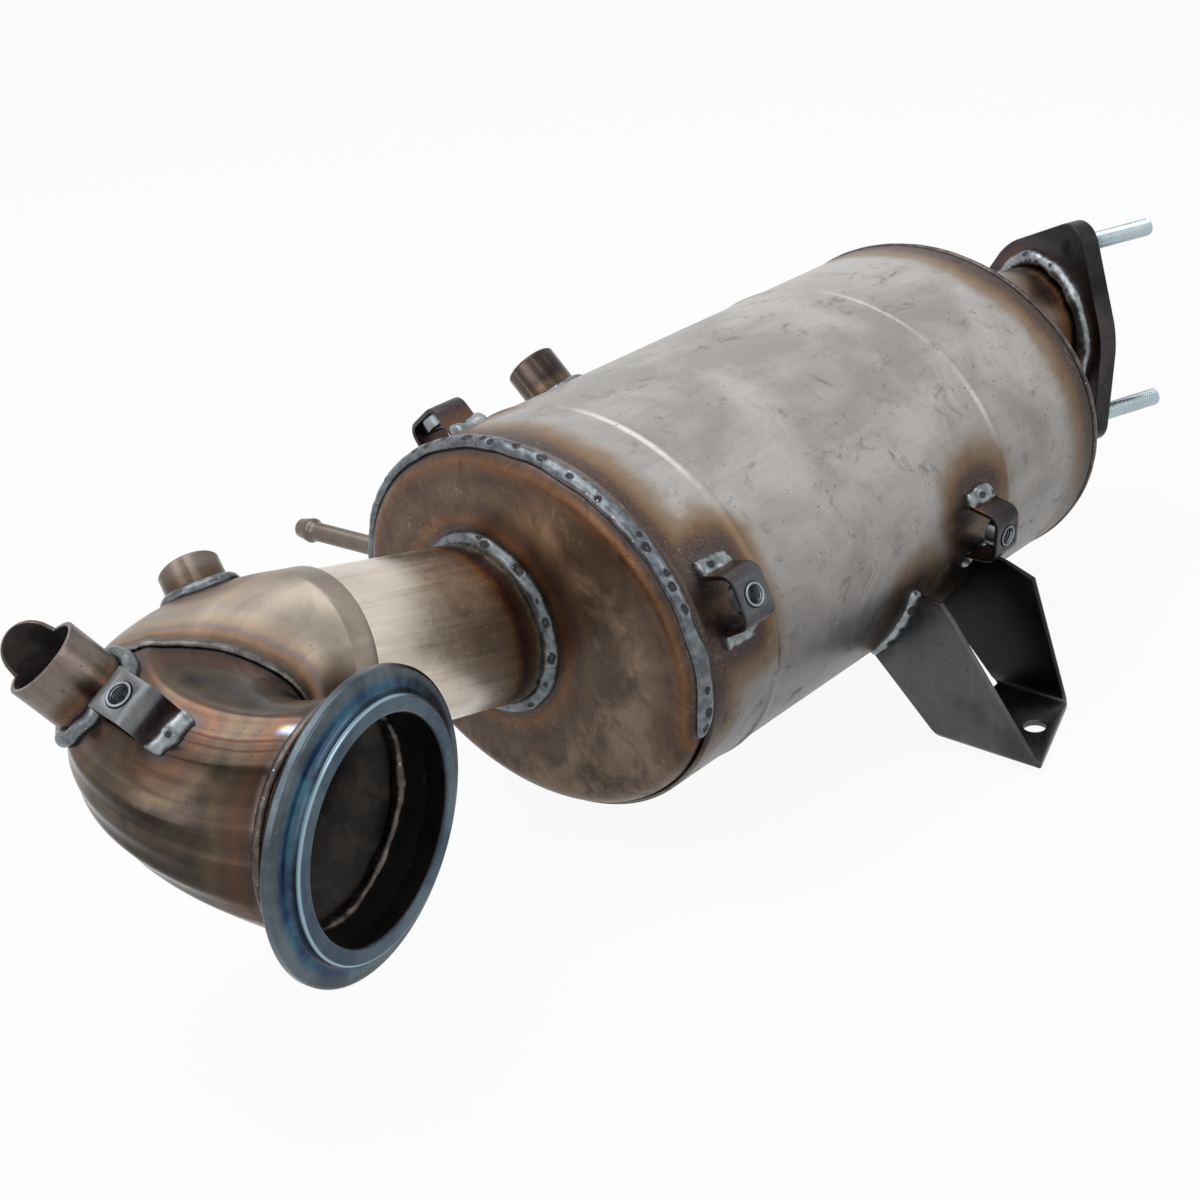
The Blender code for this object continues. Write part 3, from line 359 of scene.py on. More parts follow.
paints = {
    "shell": steel("satin_shell_steel", (0.425, 0.405, 0.390), {
        "reach": 24 * mm, "patch": 0.17, "smudge": 0.70, "dents": 0.10, "rough": 0.40, "under": 0.33,
        "streaks": 0.15, "patchSize": 48 * mm, "high": 100 * mm, "pits": 0.7,
        "scratchColour": (0.62, 0.59, 0.56), "scratches": 0.45}),
    "cap": steel("heat_brown_cap", (0.165, 0.116, 0.084), {
        "reach": 22 * mm, "stops": "cap", "tint": 0.78, "patch": 0.50, "smudge": 0.60, "rough": 0.38,
        "scratches": 0.9, "wear": 0.35, "patchSize": 20 * mm, "under": 0.65, "dents": 0.2}),
    # the pipe's streaks are mostly painted highlight stripes
    "pipe": steel("straw_pipe_steel", (0.640, 0.570, 0.490), {
        "reach": 21 * mm, "stops": "pipe", "patch": 0.10, "smudge": 0.08, "rough": 0.27, "dents": 0.02,
        "grain": 0.08, "under": 0.50, "wear": 0.03, "streaks": 0.6, "streakDark": 0.78, "high": 26 * mm,
        "pits": 0.0, "scratches": 0.05}),
    "sleeve": steel("straw_sleeve_steel", (0.285, 0.245, 0.205), {
        "reach": 20 * mm, "stops": "sleeve", "patch": 0.16, "smudge": 0.25, "rough": 0.40, "dents": 0.03,
        "grain": 0.08, "under": 0.85, "wear": 0.05, "streaks": 0.5, "streakSize": 8 * mm, "pits": 0.1,
        "scratches": 0.1}),
    "elbow": steel("bronze_elbow_steel", (0.044, 0.035, 0.028), {
        # painted shade lines along the bend's grooves, a painted glint near the flange, and strong streaks
        # painted as reflection stripes
        "shadeLinesAndGlint": ((52.5, 1.7), (47.5, 1.3)),
        "reach": 18 * mm, "stops": "elbow", "tint": 0.66, "patch": 0.35, "rough": 0.22, "dents": 0.04,
        "under": 0.7, "grain": 0.05, "streaks": 0.85, "streakDark": 0.45, "streakLight": 1.9, "wear": 0.25,
        "streakSize": 11 * mm, "scratches": 0.1, "pits": 0.25}),
    "outletPipe": steel("hot_outlet_steel", (0.190, 0.150, 0.118), {
        "reach": 17 * mm, "stops": "cap", "patch": 0.3, "rough": 0.30, "under": 0.9, "smudge": 0.3}),
    "plate": steel("dark_plate_steel", (0.026, 0.026, 0.028), {
        "reach": 12 * mm, "stops": "dark", "rough": 0.36, "under": 0.9}),
    # the bosses' strong streaks are painted bright reflection stripes along their sides, partly grain in the
    # metal
    "bossDark": steel("dark_boss_steel", (0.062, 0.046, 0.041), {
        "reach": 8 * mm, "stops": "elbow", "rough": 0.24, "streaks": 0.9, "streakLight": 2.4, "patch": 0.45,
        "under": 1.0}),
    "boss": steel("turned_boss_steel", (0.128, 0.104, 0.090), {
        "reach": 8 * mm, "stops": "elbow", "rough": 0.27, "streaks": 0.9, "patch": 0.45, "under": 1.0}),
    "nipple": steel("drawn_pipe_steel", (0.155, 0.130, 0.110), {
        "reach": 12 * mm, "stops": "elbow", "rough": 0.30, "patch": 0.2, "under": 1.0}),
    "zinc": steel("zinc_plated_steel", (0.42, 0.50, 0.53), {
        "reach": 1 * mm, "tint": 0.0, "rough": 0.28, "smudge": 0.1, "patch": 0.1, "under": 1.0,
        "scratches": 0.0, "rootDark": 0.95}),
    "nut": steel("grey_nut_steel", (0.22, 0.24, 0.26), {
        "reach": 4 * mm, "stops": "dark", "rough": 0.30, "under": 1.0}),
    "sheet": steel("dark_bracket_sheet", (0.084, 0.088, 0.092), {
        "reach": 13 * mm, "stops": "dark", "rough": 0.36, "under": 0.8, "smudge": 0.2, "wear": 0.3,
        "farWallShade": 0.85}),
    "strap": steel("grey_strap_sheet", (0.125, 0.130, 0.134), {
        "reach": 8 * mm, "stops": "dark", "tint": 0.7, "rough": 0.33, "under": 1.0, "smudge": 0.4}),
    "flange": flangeSteel("blued_flange_steel"),
    "soot": sooty("sooty_inside"),
    "weld": weldMetal("weld_metal", (0.172, 0.190, 0.205), (0.088, 0.098, 0.108)),
    "weldBright": weldMetal("bright_weld_metal", (0.30, 0.32, 0.34), (0.150, 0.165, 0.175)),
    "weldGrey": weldMetal("grey_weld_metal", (0.150, 0.145, 0.138), (0.075, 0.070, 0.066)),
    "weldBrown": weldMetal("brown_weld_metal", (0.120, 0.100, 0.088), (0.055, 0.045, 0.042)),
    "ceramic": ceramic("ceramic_channels"),
    "mat": fibreMat("fibre_mat"),
}
print("materials made,", len(paints))


# Mesh helpers
def turnTo(axis, up=Vector((0, 0, 1))):  # takes +Z to the axis, and +X as near as it can to up
    z = axis.normalized()
    y = z.cross(up).normalized()
    return Matrix((y.cross(z), y, z)).transposed().to_4x4()


def standAt(point, axis, up=Vector((0, 0, 1))):
    return Matrix.Translation(point) @ turnTo(axis, up)


def tubePlaces(start, axis, radius, low, high, count, up=Vector((0, 0, 1))):
    turned = turnTo(axis, up) @ Matrix.Diagonal((radius, radius, 1, 1))
    steps = [low + (high - low) * k / count for k in range(count + 1)]
    return [Matrix.Translation(start + axis * step) @ turned for step in steps]


def ringWays(axis, count):  # steps of length 1 away from an axis, all the way round it
    turned = turnTo(axis).to_3x3()
    angles = [math.tau * k / count for k in range(count)]
    return [turned @ Vector((math.cos(a), math.sin(a), 0)) for a in angles]


def sweep(bm, places, sides, capped=False, joined=False):  # a unit circle carried through the places
    first = bmesh.ops.create_circle(bm, segments=sides, radius=1, matrix=places[0], cap_ends=capped)["verts"]
    ring = first
    edges = [e for e in {e for v in ring for e in v.link_edges} if all(v in ring for v in e.verts)]
    firstEdges = edges
    before = places[0]
    for place in places[1:]:
        made = bmesh.ops.extrude_edge_only(bm, edges=edges)["geom"]
        ring = {g for g in made if isinstance(g, bmesh.types.BMVert)}
        edges = [g for g in made if isinstance(g, bmesh.types.BMEdge) and all(v in ring for v in g.verts)]
        bmesh.ops.transform(bm, matrix=place @ before.inverted(), verts=list(ring))
        before = place
    if joined:
        bmesh.ops.bridge_loops(bm, edges=edges + firstEdges)
    elif capped:
        bmesh.ops.contextual_create(bm, geom=edges)
    bmesh.ops.recalc_face_normals(bm, faces=bm.faces)
    return bm


def lathe(profile, place, steps=64, closed=True):  # a profile of radius and height, spun round the axis
    bm = bmesh.new()
    points = [bm.verts.new((radius, 0, height)) for radius, height in profile]
    lines = [bm.edges.new(pair) for pair in zip(points, points[1:])]
    if closed:
        lines.append(bm.edges.new((points[-1], points[0])))
    bmesh.ops.spin(bm, geom=points + lines, cent=(0, 0, 0), axis=(0, 0, 1), angle=math.tau, steps=steps,
                   use_merge=True)
    bmesh.ops.remove_doubles(bm, verts=bm.verts, dist=touch)
    bmesh.ops.recalc_face_normals(bm, faces=bm.faces)
    bmesh.ops.transform(bm, matrix=place, verts=bm.verts)
    return bm


def piece(name, bm, paint, *nodes, wall=0.0, grow=-1.0, edge=0.0, smooth=40, inner=None):
    mesh = bpy.data.meshes.new(name)
    bm.to_mesh(mesh)
    bm.free()
    made = bpy.data.objects.new(name, mesh)
    dressed.objects.link(made)
    mesh.materials.append(paints[paint])
    mesh.shade_smooth()
    mesh.set_sharp_from_angle(angle=math.radians(smooth))
    if wall:
        solid = made.modifiers.new("wall", "SOLIDIFY")
        solid.thickness = wall
        solid.offset = grow
        solid.use_even_offset = True
        if inner:
            mesh.materials.append(paints[inner])
            solid.material_offset = 1
    if edge:
        rounding = made.modifiers.new("edge", "BEVEL")
        rounding.width = edge
        rounding.segments = 3
        rounding.limit_method = "ANGLE"
        rounding.angle_limit = math.radians(38)
    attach(made, "root")
    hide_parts(*nodes)
    return made


touch = 0.01 * mm
startAbove = 60 * mm


def treeOf(bm):
    bm.normal_update()
    return BVHTree.FromBMesh(bm)


def seat(tree, above, inwards):  # where a line on to a skin meets it, and the way out of the skin there
    place, normal, _, _ = tree.ray_cast(above - inwards * startAbove, inwards)
    if normal.dot(inwards) > 0:
        normal = -normal
    return place, normal


def openUnder(bm, foot, axis, reach, depth=12 * mm):  # takes the skin away under a boss, inside its wall
    gone = []
    for face in bm.faces:
        spans = []
        for v in face.verts:
            away = v.co - foot
            along = away.dot(axis)
            spans.append((away - axis * along).length if abs(along) < depth else 1.0)
        if max(spans) < reach:
            gone.append(face)
    bmesh.ops.delete(bm, geom=gone, context="FACES")


def settle(bm, foot, axis, low, tree, sink):  # lets the lowest rings down on to the skin
    for v in bm.verts:
        height = (v.co - foot).dot(axis)
        if height < low + touch:
            place, _ = seat(tree, v.co - axis * height, -axis)
            v.co = place - axis * sink


# Can shell, with its two rolled beads
can = {
    "length": 257 * mm, "halfWidth": 87.8 * mm, "halfHeight": 73.8 * mm, "wall": 1.5 * mm, "sides": 180,
    "step": 3 * mm, "beads": (36 * mm, 188 * mm), "beadHeight": 0.7 * mm, "beadHalf": 3 * mm,
    "past": 8 * mm,
}


def canPlace(x, grow):
    wide = can["halfWidth"] + grow
    tall = can["halfHeight"] + grow
    return Matrix(((0, 0, 1, x), (wide, 0, 0, 0), (0, tall, 0, 0), (0, 0, 0, 1)))


def canPoint(x, grow, angle):  # the angle is turned from +Z towards +Y
    wide = can["halfWidth"] + grow
    tall = can["halfHeight"] + grow
    return Vector((x, wide * math.sin(angle), tall * math.cos(angle)))


def canOut(angle):
    return Vector((0, math.sin(angle) / can["halfWidth"], math.cos(angle) / can["halfHeight"])).normalized()


def shellStations():
    stations = {0.0, can["length"]}
    for middle in can["beads"]:
        for k in range(-6, 7):
            stations.add(middle + can["beadHalf"] * k / 6)
    x = can["step"]
    while x < can["length"]:
        if all(abs(x - middle) > can["beadHalf"] + 1 * mm for middle in can["beads"]):
            stations.add(x)
        x += can["step"]
    return sorted(stations)


def shellGrow(x):
    for middle in can["beads"]:
        away = abs(x - middle) / can["beadHalf"]
        if away < 1:
            return can["beadHeight"] * (0.5 + 0.5 * math.cos(math.pi * away))
    return 0.0


plainEnds = [canPlace(-can["past"], 0), canPlace(can["length"] + can["past"], 0)]
plainCan = sweep(bmesh.new(), plainEnds, can["sides"])
canTree = treeOf(plainCan)
plainCan.free()

# Duct: sleeve, bend and neck share one line of sections
duct = {
    "pipeFoot": Vector((-8, 15.5, 0)) * mm, "rise": 15, "yaw": 2, "pipeLength": 94 * mm, "lap": 8 * mm,
    "straight": 10 * mm, "sleeveRadius": 33.65 * mm, "neckRadius": 38.6 * mm, "neckStraight": 3 * mm,
    "bulge": 20 * mm, "widen": 3.5 * mm, "flatten": 7.5 * mm, "lift": 2 * mm, "wall": 1.6 * mm,
    "inletCentre": Vector((-134.9, -65.2, 7.1)) * mm, "inletYaw": 15, "inletDrop": 3.4,
    "inletDepth": 14.3 * mm, "pipeRadius": 31.75 * mm, "pipeWall": 1.5 * mm, "pipeInside": 10 * mm,
    "seamTurn": 44, "seamPoint": Vector((-140, 3.5, 0)) * mm, "seamGap": 0.8 * mm, "sides": 144, "steps": 72,
    "straightSteps": 4,
    "flutes": ((-44, 0.5), (-27, 0.8), (-11, 0.45), (6, 0.9), (22, 0.5), (38, 1.0), (53, 0.6), (69, 0.9)),
    "fluteDeep": 1.3 * mm, "fluteHalf": 5.0, "fluteFrom": 0.26,
}
rise, yaw = math.radians(duct["rise"]), math.radians(duct["yaw"])
pipeAxis = Vector((-math.cos(rise) * math.cos(yaw), -math.cos(rise) * math.sin(yaw), math.sin(rise)))
turn, drop = math.radians(duct["inletYaw"]), math.radians(duct["inletDrop"])
inletAxis = Vector((math.sin(turn) * math.cos(drop), -math.cos(turn) * math.cos(drop), -math.sin(drop)))
sleeveStart = duct["pipeFoot"] + pipeAxis * (duct["pipeLength"] - duct["lap"])
bendStart = sleeveStart + pipeAxis * duct["straight"]
bendEnd = duct["inletCentre"] - inletAxis * (duct["inletDepth"] + duct["neckStraight"])
bendUp = pipeAxis.cross(inletAxis).normalized()
bendAngle = pipeAxis.angle(inletAxis)
pivot = Matrix((pipeAxis, inletAxis, bendUp)).inverted() @ Vector((
    pipeAxis.dot(bendStart), inletAxis.dot(bendEnd), bendUp.dot(bendStart)))
startReach = (bendStart - pivot).length
endHeight = (bendEnd - pivot).dot(bendUp)
endReach = (bendEnd - pivot - bendUp * endHeight).length
seamTurn = math.radians(duct["seamTurn"])
seamNormal = Vector((math.cos(seamTurn), math.sin(seamTurn), 0))


def bendPlace(t):  # the bend swings out, widens and flattens towards its middle
    out = Matrix.Rotation(bendAngle * t, 3, bendUp) @ ((bendStart - pivot) / startReach)
    share = t * t * (3 - 2 * t)
    middle = math.sin(math.pi * t)
    reach = startReach + (endReach - startReach) * share + duct["bulge"] * middle
    radius = duct["sleeveRadius"] + (duct["neckRadius"] - duct["sleeveRadius"]) * share
    centre = pivot + out * reach + bendUp * (endHeight * share + duct["lift"] * middle)
    wide = out * (radius + duct["widen"] * middle)
    tall = bendUp * (radius - duct["flatten"] * middle)
    along = wide.cross(tall).normalized()
    return Matrix.Translation(centre) @ Matrix((wide, tall, along)).transposed().to_4x4()


def placesOfDuct():
    first = bendPlace(0)
    last = bendPlace(1)
    count = duct["straightSteps"]
    lead = [pipeAxis * duct["straight"] * (1 - k / count) for k in range(count)]
    places = [Matrix.Translation(-back) @ first for back in lead]
    places += [bendPlace(k / duct["steps"]) for k in range(duct["steps"] + 1)]
    places += [Matrix.Translation(inletAxis * duct["neckStraight"] * k / 2) @ last for k in (1, 2)]
    return places


def ductSkin():  # shallow grooves run along the outside of the bend, as its press left them
    places = placesOfDuct()
    bm = sweep(bmesh.new(), places, duct["sides"])
    bm.verts.ensure_lookup_table()
    for k, place in enumerate(places):
        t = (k - duct["straightSteps"]) / duct["steps"]
        rising = min(1.0, max(0.0, (t - duct["fluteFrom"]) / 0.30))
        falling = min(1.0, max(0.25, (1.04 - t) / 0.22))
        window = rising * falling
        if window <= 0:
            continue
        home = place.inverted()
        centre = place.to_translation()
        for v in bm.verts[k * duct["sides"]:(k + 1) * duct["sides"]]:
            local = home @ v.co
            degrees = math.degrees(math.atan2(local.y, local.x))
            high = 0.0
            for middle, strength in duct["flutes"]:
                away = (degrees - middle) / duct["fluteHalf"]
                high += strength * math.exp(-away * away)
            deep = (1 - min(1.0, high)) * window * duct["fluteDeep"]
            v.co -= (v.co - centre).normalized() * deep
    return bm


def ductLocal(point):  # a point told by its place in the section and how far along the duct it lies
    away = point - pivot
    flat = away - bendUp * away.dot(bendUp)
    start = (bendStart - pivot) / startReach
    t = math.atan2(flat.dot(bendUp.cross(start)), flat.dot(start)) / bendAngle
    t = min(1.0, max(0.0, t))
    local = bendPlace(t).inverted() @ point
    return Vector((local.x * duct["neckRadius"], local.y * duct["neckRadius"], t * startReach * 2 + local.z))


plainDuct = ductSkin()
ductTree = treeOf(plainDuct)
plainDuct.free()
print("can and duct laid out")


# Weld beads: an uneven round run of weld metal, laid along points on a skin
run = {
    "coarse": 9 * mm, "fine": 2.4 * mm, "wander": 0.18, "taper": 0.05, "buried": 0.35, "tilt": 0.5,
    "tiltFlat": 0.9, "pitShare": -0.12, "pitLong": 1.9 * mm, "pitWide": 1.2 * mm, "pitDeep": 0.55 * mm,
}


def bead(name, points, outs, closed, wide, high, seed, paint="weld", lump=0.07, sides=20, pits=0.0,
         node=None):
    count = len(points)
    places = []
    travelled = [0.0]
    for k in range(count):
        before = points[(k - 1) % count] if closed or k else points[k]
        after = points[(k + 1) % count] if closed or k < count - 1 else points[k]
        along = (after - before).normalized()
        out = (outs[k] - along * outs[k].dot(along)).normalized()
        side = out.cross(along)
        spot = points[k] / run["coarse"] + Vector((seed, seed * 1.7, 0))
        small = points[k] / run["fine"] + Vector((seed, 0, seed))
        swell = 1 + lump * noise.noise(spot) * 2.0 + lump * 0.5 * noise.noise(small)
        shift = side * (wide * run["wander"] * noise.noise(spot * 0.7 + Vector((9, 3, seed))))
        end = 1.0
        if not closed:
            fromEnd = min(1.0, min(k, count - 1 - k) / max(1, count * run["taper"]))
            end = math.sqrt(max(0.02, 1 - (1 - fromEnd) ** 2))
        rise = high * (swell * 0.8 + 0.2) * end
        centre = points[k] + shift + out * (rise * (1 - 2 * run["buried"]))
        turned = Matrix((side * (wide * swell * end), out * rise, along)).transposed().to_4x4()
        places.append(Matrix.Translation(centre) @ turned)
        travelled.append(travelled[-1] + (points[(k + 1) % count] - points[k]).length)
    bm = sweep(bmesh.new(), places, sides, capped=not closed, joined=closed)
    dents = dentBead(bm, places, travelled, sides, wide, seed, pits)
    made = piece(name, bm, paint, node or name, smooth=180)
    layer = made.data.attributes.new("pit", "FLOAT", "POINT")
    for k, dent in enumerate(dents):
        layer.data[k].value = dent
    return made


def dentBead(bm, places, travelled, sides, wide, seed, pits):  # a row of small craters along the bead
    bm.verts.ensure_lookup_table()
    dents = [0.0] * len(bm.verts)
    if not pits:
        return dents
    for k, place in enumerate(places):
        step = round(travelled[k] / pits)
        jitter = noise.noise(Vector((step * 3.7, seed * 2.3, 0.5)))
        present = noise.noise(Vector((step * 5.3, seed * 1.1, 8.5))) > run["pitShare"]
        size = 1.0 + 0.9 * noise.noise(Vector((step * 2.9, seed * 4.1, 3.5)))
        along = (travelled[k] - (step + jitter * 0.6) * pits) / (run["pitLong"] * size)
        if not present or abs(along) > 1.6:
            continue
        home = place.inverted()
        for n in range(k * sides, (k + 1) * sides):
            local = home @ bm.verts[n].co
            across = (local.x * wide - wide * 0.6 * jitter) / (run["pitWide"] * size)
            if local.y > 0:
                dents[n] = math.exp(-(along * along + across * across) * 1.3)
    for n, dent in enumerate(dents):
        place = places[n // sides] if n // sides < len(places) else None
        if dent > 0.05 and place:
            bm.verts[n].co -= place.col[1].to_3d().normalized() * (run["pitDeep"] * dent)
    return dents


def collarPath(foot, axis, radius, tree, count):  # round a boss or tube, on the skin it stands on
    points = []
    outs = []
    for away in ringWays(axis, count):
        place, normal = seat(tree, foot + away * radius, -axis)
        points.append(place)
        outs.append((normal + away * run["tilt"]).normalized())
    return points, outs


def planePath(foot, axis, radius, face, count):  # round a pipe where it passes through a flat face
    points = []
    outs = []
    for away in ringWays(axis, count):
        point = foot + away * radius
        points.append(point + axis * ((foot - point).dot(face) / axis.dot(face)))
        outs.append((face + away * run["tiltFlat"]).normalized())
    return points, outs


def canPath(x, grow, first, last, count, closed=False, lean=0.0):
    gaps = count if closed else count - 1
    angles = [math.radians(first + (last - first) * k / gaps) for k in range(count)]
    points = [canPoint(x, grow, a) for a in angles]
    outs = [(canOut(a) + Vector((lean, 0, 0))).normalized() for a in angles]
    return points, outs


welds = []
runs = {  # half width and height in mm, seed, and what differs from a plain run
    "front_cap_weld": (3.0, 2.2, 3, {"pits": 7.5 * mm}),
    "rear_cap_weld": (1.4, 1.2, 8, {"paint": "weldBrown", "lump": 0.05, "sides": 10}),
    "inlet_pipe_weld": (3.3, 2.6, 5, {"pits": 7.0 * mm}),
    "outlet_pipe_weld": (2.3, 2.0, 12, {}),
    "outlet_flange_weld": (3.3, 3.0, 17, {"paint": "weldBright", "lump": 0.18, "pits": 11 * mm}),
    "sensor_boss_inlet_weld": (2.7, 2.5, 21, {}),
    "sensor_boss_can_weld": (2.8, 2.6, 25, {}),
    "side_stub_weld": (3.0, 2.6, 29, {}),
    "pressure_pipe_weld": (1.5, 1.3, 33, {}),
    "elbow_seam_weld": (1.9, 1.0, 37, {"paint": "weldGrey", "lump": 0.06, "sides": 12}),
    "inlet_flange_weld": (1.6, 0.9, 41, {"paint": "weldBrown", "lump": 0.05, "sides": 12}),
    "hat_foot": (4.1, 2.7, 0, {"paint": "weldBright", "lump": 0.2, "pits": 9 * mm}),
    "support_bracket_weld_near": (3.0, 2.4, 51, {"paint": "weldBright", "lump": 0.2, "pits": 9 * mm}),
    "support_bracket_weld_far": (3.0, 2.4, 57, {"paint": "weldBright", "lump": 0.2, "pits": 9 * mm}),
}


def lay(node, path, closed=True, kind=None):  # each foot of the hats gets a seed of its own
    wide, high, seed, rest = runs[kind or node]
    welds.append(bead(node, *path, closed, wide * mm, high * mm, seed or len(welds) * 7, **rest))


lay("front_cap_weld", canPath(-2.2 * mm, -1.6 * mm, -108, 108, 520, lean=-0.45), False)
lay("rear_cap_weld", canPath(can["length"] + 1.0 * mm, -0.9 * mm, 0, 360, 420, True, lean=0.5))
pipeRim = planePath(duct["pipeFoot"], pipeAxis, duct["pipeRadius"] + 1.2 * mm, Vector((-1, 0, 0)), 330)
lay("inlet_pipe_weld", pipeRim)
print("welds started")

# Outlet pipe, plate and studs
outlet = {
    "centre": Vector((315.4, -26, 21.5)) * mm, "yaw": 20.4, "radius": 30 * mm, "wall": 1.5 * mm,
    "inside": 6 * mm, "thick": 9 * mm, "plateRadius": 42.5 * mm, "lugRadius": 11 * mm,
    "lugReach": 46.5 * mm, "lugTurn": 65,
    "studRadius": 4 * mm, "studOut": 37 * mm, "pitch": 1.25 * mm, "thread": 0.55 * mm, "rearFace": 265 * mm,
}
outletYaw = math.radians(outlet["yaw"])
outletAxis = Vector((math.cos(outletYaw), -math.sin(outletYaw), 0))
outletFoot = outlet["centre"] - outletAxis * ((outlet["centre"].x - outlet["rearFace"]) / outletAxis.x)
outletRim = planePath(outletFoot, outletAxis, outlet["radius"] + 0.9 * mm, Vector((1, 0, 0)), 150)
lay("outlet_pipe_weld", outletRim)
plateRim = planePath(outlet["centre"], outletAxis, outlet["radius"] + 2.6 * mm, -outletAxis, 260)
lay("outlet_flange_weld", plateRim)

# Bosses, stub and pressure pipe are set on the skins
bosses = {
    "radius": 11 * mm, "bore": 6 * mm, "inletHeight": 12 * mm, "canHeight": 19.7 * mm, "chamfer": 0.8 * mm,
    "inletAt": Vector((-110.7, 42.3, 48.9)) * mm, "inletAxis": Vector((0.21, 0.726, 0.655)), "canX": 92 * mm,
    "canAngle": 51, "thread": 0.35 * mm, "pitch": 1.5 * mm, "opening": 10.2 * mm, "sink": 1.2 * mm,
}
bossAAxis = bosses["inletAxis"].normalized()
bossAFoot, _ = seat(ductTree, bosses["inletAt"], -bossAAxis)
bossBAxis = canOut(math.radians(bosses["canAngle"]))
bossBFoot = canPoint(bosses["canX"], 0, math.radians(bosses["canAngle"]))
stub = {
    "radius": 14 * mm, "wall": 1.8 * mm, "tongue": 10 * mm, "centre": Vector((-181.7, 24.3, 62.9)) * mm,
    "axis": Vector((-0.48, 0.34, 0.81)), "side": Vector((0.28, 0.90, -0.21)), "half": 44, "sides": 72,
    "opening": 13.4 * mm, "rings": 10, "sink": 0.8 * mm,
}
stubAxis = stub["axis"].normalized()
nipple = {
    "x": 10 * mm, "angle": 86, "axis": Vector((-0.12, 1.0, 0.03)), "radius": 4 * mm, "bore": 3 * mm,
    "barb": 5.2 * mm, "length": 54 * mm, "inside": 2 * mm, "sink": 1.0 * mm,
}
nippleAxis = nipple["axis"].normalized()
nippleFoot = canPoint(nipple["x"], 0, math.radians(nipple["angle"]))

bossCollar = bosses["radius"] + 0.9 * mm
lay("sensor_boss_inlet_weld", collarPath(bossAFoot, bossAAxis, bossCollar, ductTree, 110))
lay("sensor_boss_can_weld", collarPath(bossBFoot, bossBAxis, bossCollar, canTree, 110))
lay("side_stub_weld", collarPath(stub["centre"], stubAxis, stub["radius"] + 1.1 * mm, ductTree, 140))
lay("pressure_pipe_weld", collarPath(nippleFoot, nippleAxis, nipple["radius"] + 0.6 * mm, canTree, 50))


def seamPath(count):
    places = placesOfDuct()
    centres = [place.to_translation() for place in places]
    middle = centres[0]
    for low, high in zip(centres, centres[1:]):
        a = (low - duct["seamPoint"]).dot(seamNormal)
        b = (high - duct["seamPoint"]).dot(seamNormal)
        if a > 0 >= b:
            middle = low.lerp(high, a / (a - b))
    side = seamNormal.cross(Vector((0, 0, 1)))
    points = []
    outs = []
    for k in range(count):
        a = math.tau * k / count
        way = Vector((0, 0, 1)) * math.cos(a) + side * math.sin(a)
        place, normal, _, _ = ductTree.ray_cast(middle, way)
        points.append(place)
        outs.append(normal if normal.dot(way) > 0 else -normal)
    return points, outs


lay("elbow_seam_weld", seamPath(300))
neckMiddle = bendEnd + inletAxis * (duct["neckStraight"] + 0.1 * mm)
neckWays = ringWays(inletAxis, 200)
neckPoints = [neckMiddle + way * duct["neckRadius"] for way in neckWays]
lay("inlet_flange_weld", (neckPoints, neckWays))
insidePoints = [neckMiddle + way * (duct["neckRadius"] - duct["wall"] - 0.6 * mm) for way in neckWays]
bead("inlet_flange_weld_inside", insidePoints, [-way for way in neckWays], True, 2.6 * mm, 1.9 * mm, 47,
     "weldBrown", lump=0.3, node="inlet_flange_weld")


# Hat brackets with a weld nut each
hats = {
    "span": 17 * mm, "width": 15 * mm, "height": 12 * mm, "lean": 1.5 * mm, "sheet": 1.8 * mm,
    "bend": 3.2 * mm, "weldOut": 0.9 * mm, "weldPoints": 34, "lift": 0.2 * mm,
    "nutRadius": 6.5 * mm, "collar": 4.4 * mm, "bore": 3 * mm, "nutHeight": 5 * mm,
    "proud": 0.5 * mm, "threadPitch": 1 * mm, "threadDeep": 0.35 * mm,
    "onCan": (
        ("front_near", 17.5 * mm, -71),
        ("rear_near", 167 * mm, -95),
        ("front_far", 25 * mm, 43),
    ),
    "elbowNut": Vector((-181, -15.6, 62.5)) * mm, "elbowSpan": Vector((0.04, 1.0, 0.08)),
}


def hatWelds(name, centre, normal, span, tree, feet):
    width = normal.cross(span)
    base = hats["span"] / 2 + hats["lean"] + hats["sheet"]
    for sign, label in feet:
        points = []
        outs = []
        for k in range(hats["weldPoints"]):
            across = (k / (hats["weldPoints"] - 1) - 0.5) * hats["width"] * 1.02
            above = centre + span * sign * (base + hats["weldOut"]) + width * across
            place, out = seat(tree, above, -normal)
            points.append(place)
            outs.append((out + span * sign * run["tilt"]).normalized())
        lay("hat_bracket_" + name + "_weld_" + label, (points, outs), False, "hat_foot")


hatPlaces = []
for hatName, hatX, hatAngle in hats["onCan"]:
    out = canOut(math.radians(hatAngle))
    hatSeat = canPoint(hatX, 0, math.radians(hatAngle))
    hatPlaces.append((hatName, hatSeat, out, out.cross(Vector((1, 0, 0))), canTree, ((-1, "a"), (1, "b"))))
elbowSeat, elbowOut, _, _ = ductTree.find_nearest(hats["elbowNut"])
elbowSpan = (hats["elbowSpan"] - elbowOut * hats["elbowSpan"].dot(elbowOut)).normalized()
hatPlaces.append(("elbow", elbowSeat, elbowOut, elbowSpan, ductTree, ((-1, "a"),)))
for hatName, centre, out, span, tree, feet in hatPlaces:
    hatWelds(hatName, centre, out, span, tree, feet)

